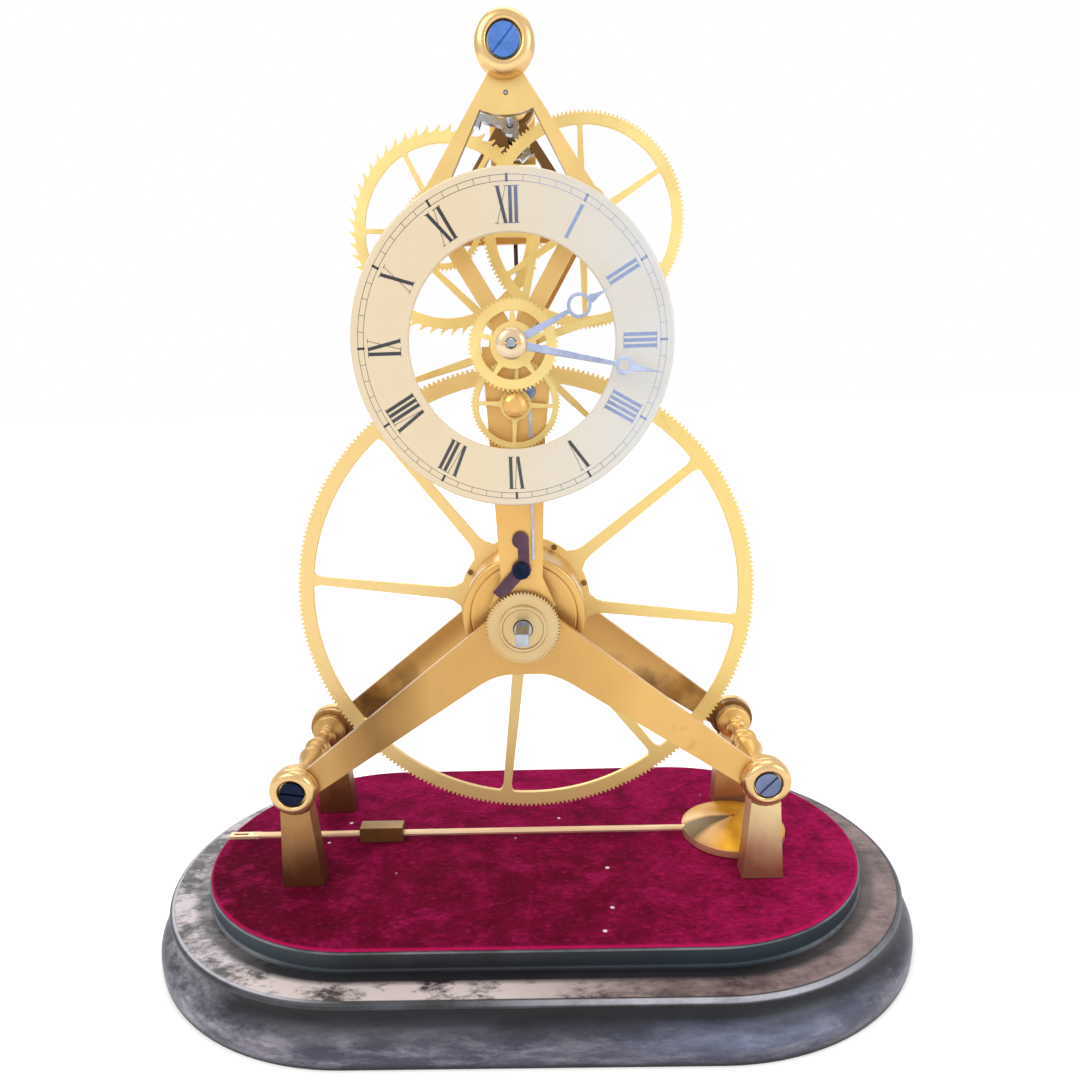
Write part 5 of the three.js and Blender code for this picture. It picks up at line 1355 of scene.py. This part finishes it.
class SKELETONCLOCK_OT_pendulum(bpy.types.Operator):
    """Makes the pendulum that lies on the velvet"""
    bl_idname = "skeleton_clock.pendulum"
    bl_label = "Pendulum"

    def execute(self, context):
        low, high = node_box("pendulum_bob")
        radius, rim_top = half_width("pendulum_bob"), low.z + BOB_RIM
        rise = high.z - rim_top
        dome = smooth_line([(radius, rim_top), (radius * 0.85, rim_top + rise * 0.36),
                            (radius * 0.5, rim_top + rise * 0.86), (1, high.z)], 6)
        profile = [(0, low.z), (radius - 0.4, low.z), (radius, low.z + 0.4), *dome, (0.9, high.z - 0.8),
                   (0, high.z - 0.8)]
        bob = turned(profile, (low + high) / 2, "Z", steps=96)
        dress("pendulum_bob", "pendulum_bob_turned", bob, "bob brass", sharp=60)
        polish("pendulum_block", "pendulum_rod")
        low, high = node_box("rating_nut")
        radius = (high.z - low.z) / 2
        dress("rating_nut", "rating_nut_turned", turned([
            (1.7, low.x), (radius - 0.3, low.x), (radius, low.x + 0.4), (radius * 0.94, low.x + 0.9),
            (radius * 0.94, high.x - 0.9), (radius, high.x - 0.4), (radius - 0.3, high.x), (1.7, high.x)],
            middle_of("rating_nut"), "X", steps=40), "plate brass")
        return {"FINISHED"}


KEPT_FINISHES = {
    "mainspring": "steel", "cannon_pinion": "steel", "minute_pinion": "plate brass",
    "minute_wheel_stud": "plate brass",
}


class SKELETONCLOCK_OT_kept_nodes(bpy.types.Operator):
    """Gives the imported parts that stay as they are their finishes"""
    bl_idname = "skeleton_clock.kept_nodes"
    bl_label = "Packed parts"

    def execute(self, context):
        for node, made in NODES.items():
            if made.hide_render:
                continue
            made.data.materials.clear()
            made.data.materials.append(material_of(KEPT_FINISHES.get(node, "plate brass")))
        return {"FINISHED"}


# The studio

CAMERA_PLACE = (0.0100, -0.3686, 0.2537)
CAMERA_YAW, CAMERA_PITCH, CAMERA_ROLL = -1.45, 15.58, 1.82
FOCAL_PIXELS, MIDDLE_PIXELS, IMAGE_PIXELS = 858.5, (526.33, 610.71), 1080
SENSOR = 36
# The floor glows white where the camera or a reflection sees it, least near the clock, so that its
# shadow stays
FLOOR_REACH = 6
FLOOR_FADE = (0.5, 1.2)  # metres from the clock
FLOOR_GLOW = (0.35, 1.0)
ROOM_TINT, ROOM_LIGHT = (1, 0.99, 0.97, 1), 0.55
LAMPS = (
    ("Window", (-0.9, -1.1, 1.3), 1.0, 11, (1.0, 0.97, 0.92)),
    ("Side panel", (1.15, -0.9, 0.75), 0.7, 6, (0.90, 0.95, 1.0)),
    ("Top panel", (0.1, 0.3, 1.5), 1.1, 6, (1, 1, 1)),
    ("Back panel", (-0.5, 1.3, 0.9), 1.0, 5, (1, 1, 1)),
)
LAMP_AIM = Vector((0, 0, 0.18))


def seen_or_reflected(tree):
    """1 for rays from the camera and for reflected and refracted ones"""
    path = tree.nodes.new("ShaderNodeLightPath")
    total = path.outputs["Is Camera Ray"]
    for name in ("Is Glossy Ray", "Is Transmission Ray"):
        both = tree.nodes.new("ShaderNodeMath")
        both.operation = "MAXIMUM"
        tree.links.new(total, both.inputs[0])
        tree.links.new(path.outputs[name], both.inputs[1])
        total = both.outputs[0]
    return total


class SKELETONCLOCK_OT_studio(bpy.types.Operator):
    """Sets the pale floor, the soft lights and the camera"""
    bl_idname = "skeleton_clock.studio"
    bl_label = "Studio"

    def execute(self, context):
        bm = bmesh.new()
        bmesh.ops.create_grid(bm, x_segments=1, y_segments=1, size=FLOOR_REACH)
        mesh = bpy.data.meshes.new("Floor")
        bm.to_mesh(mesh)
        bm.free()
        paper = Finish("Pale floor", 0.0, 0.9)
        paper.set("Base Color", (0.9, 0.9, 0.9))
        paper.set("Specular IOR Level", 0.1)
        paper.set("Emission Color", (1, 1, 1))
        away = paper.node("ShaderNodeVectorMath", operation="LENGTH")
        paper.feed(away.inputs[0], paper.place)
        glow = Term(paper, away.outputs["Value"]).span(*FLOOR_FADE, *FLOOR_GLOW)
        paper.set("Emission Strength", Term(paper, seen_or_reflected(paper.tree)) * glow)
        mesh.materials.append(paper.material)
        placed("Floor", mesh)

        world = bpy.data.worlds.new("Studio")
        context.scene.world = world
        world.use_nodes = True
        tree = world.node_tree
        soft = tree.nodes["Background"]
        soft.inputs["Color"].default_value = ROOM_TINT
        soft.inputs["Strength"].default_value = ROOM_LIGHT
        white = tree.nodes.new("ShaderNodeBackground")
        white.inputs["Color"].default_value = (1, 1, 1, 1)
        white.inputs["Strength"].default_value = 1
        mix = tree.nodes.new("ShaderNodeMixShader")
        tree.links.new(seen_or_reflected(tree), mix.inputs[0])
        tree.links.new(soft.outputs[0], mix.inputs[1])
        tree.links.new(white.outputs[0], mix.inputs[2])
        tree.links.new(mix.outputs[0], tree.nodes["World Output"].inputs["Surface"])

        for name, place, width, power, tint in LAMPS:
            lamp = bpy.data.lights.new(name, "AREA")
            lamp.size, lamp.energy, lamp.color = width, power, tint
            made = placed(name, lamp)
            made.location = place
            made.rotation_euler = (LAMP_AIM - Vector(place)).to_track_quat("-Z", "Y").to_euler()

        camera = bpy.data.cameras.new("Camera")
        camera.sensor_width = SENSOR
        camera.lens = SENSOR * FOCAL_PIXELS / IMAGE_PIXELS
        camera.shift_x = (IMAGE_PIXELS / 2 - MIDDLE_PIXELS[0]) / IMAGE_PIXELS
        camera.shift_y = (MIDDLE_PIXELS[1] - IMAGE_PIXELS / 2) / IMAGE_PIXELS
        camera.clip_start = 0.01
        viewer = placed("Camera", camera)
        yaw, pitch, roll = (math.radians(a) for a in (CAMERA_YAW, CAMERA_PITCH, CAMERA_ROLL))
        forward = Vector((math.sin(yaw) * math.cos(pitch), math.cos(yaw) * math.cos(pitch), -math.sin(pitch)))
        right = Vector((math.cos(yaw), -math.sin(yaw), 0))
        up = right.cross(forward)
        across = right * math.cos(roll) - up * math.sin(roll)
        upward = up * math.cos(roll) + right * math.sin(roll)
        viewer.matrix_world = Matrix((
            (*across, 0), (*upward, 0), (*-forward, 0), (*CAMERA_PLACE, 1))).transposed()
        context.scene.camera = viewer
        context.scene.view_settings.view_transform = "Standard"
        return {"FINISHED"}


STEPS = (
    SKELETONCLOCK_OT_stand, SKELETONCLOCK_OT_velvet, SKELETONCLOCK_OT_plates, SKELETONCLOCK_OT_pillars,
    SKELETONCLOCK_OT_great_wheel, SKELETONCLOCK_OT_ratchet_work, SKELETONCLOCK_OT_train,
    SKELETONCLOCK_OT_motion_work, SKELETONCLOCK_OT_dial, SKELETONCLOCK_OT_hands, SKELETONCLOCK_OT_escapement,
    SKELETONCLOCK_OT_pendulum, SKELETONCLOCK_OT_kept_nodes, SKELETONCLOCK_OT_studio,
)


class SKELETONCLOCK_PT_panel(bpy.types.Panel):
    """Lists the clock's settings and the steps that build it"""
    bl_idname = "SKELETONCLOCK_PT_panel"
    bl_label = "Skeleton Clock"
    bl_space_type = "VIEW_3D"
    bl_region_type = "UI"
    bl_category = "Skeleton Clock"

    def draw(self, context):
        for step in STEPS:
            self.layout.operator(step.bl_idname)
        for group in (finishes(), sizes()):
            box = self.layout.box()
            for name in group.__annotations__:
                box.prop(group, name)


CLASSES = (SkeletonClockFinishes, SkeletonClockSizes, *STEPS, SKELETONCLOCK_PT_panel)


def register():
    for cls in CLASSES:
        bpy.utils.register_class(cls)
    bpy.types.Scene.skeleton_clock_finishes = bpy.props.PointerProperty(type=SkeletonClockFinishes)
    bpy.types.Scene.skeleton_clock_sizes = bpy.props.PointerProperty(type=SkeletonClockSizes)


def unregister():
    del bpy.types.Scene.skeleton_clock_sizes
    del bpy.types.Scene.skeleton_clock_finishes
    for cls in reversed(CLASSES):
        bpy.utils.unregister_class(cls)


def main():
    register()
    for step in STEPS:
        category, name = step.bl_idname.split(".")
        getattr(getattr(bpy.ops, category), name)()


if __name__ == "__main__":
    main()
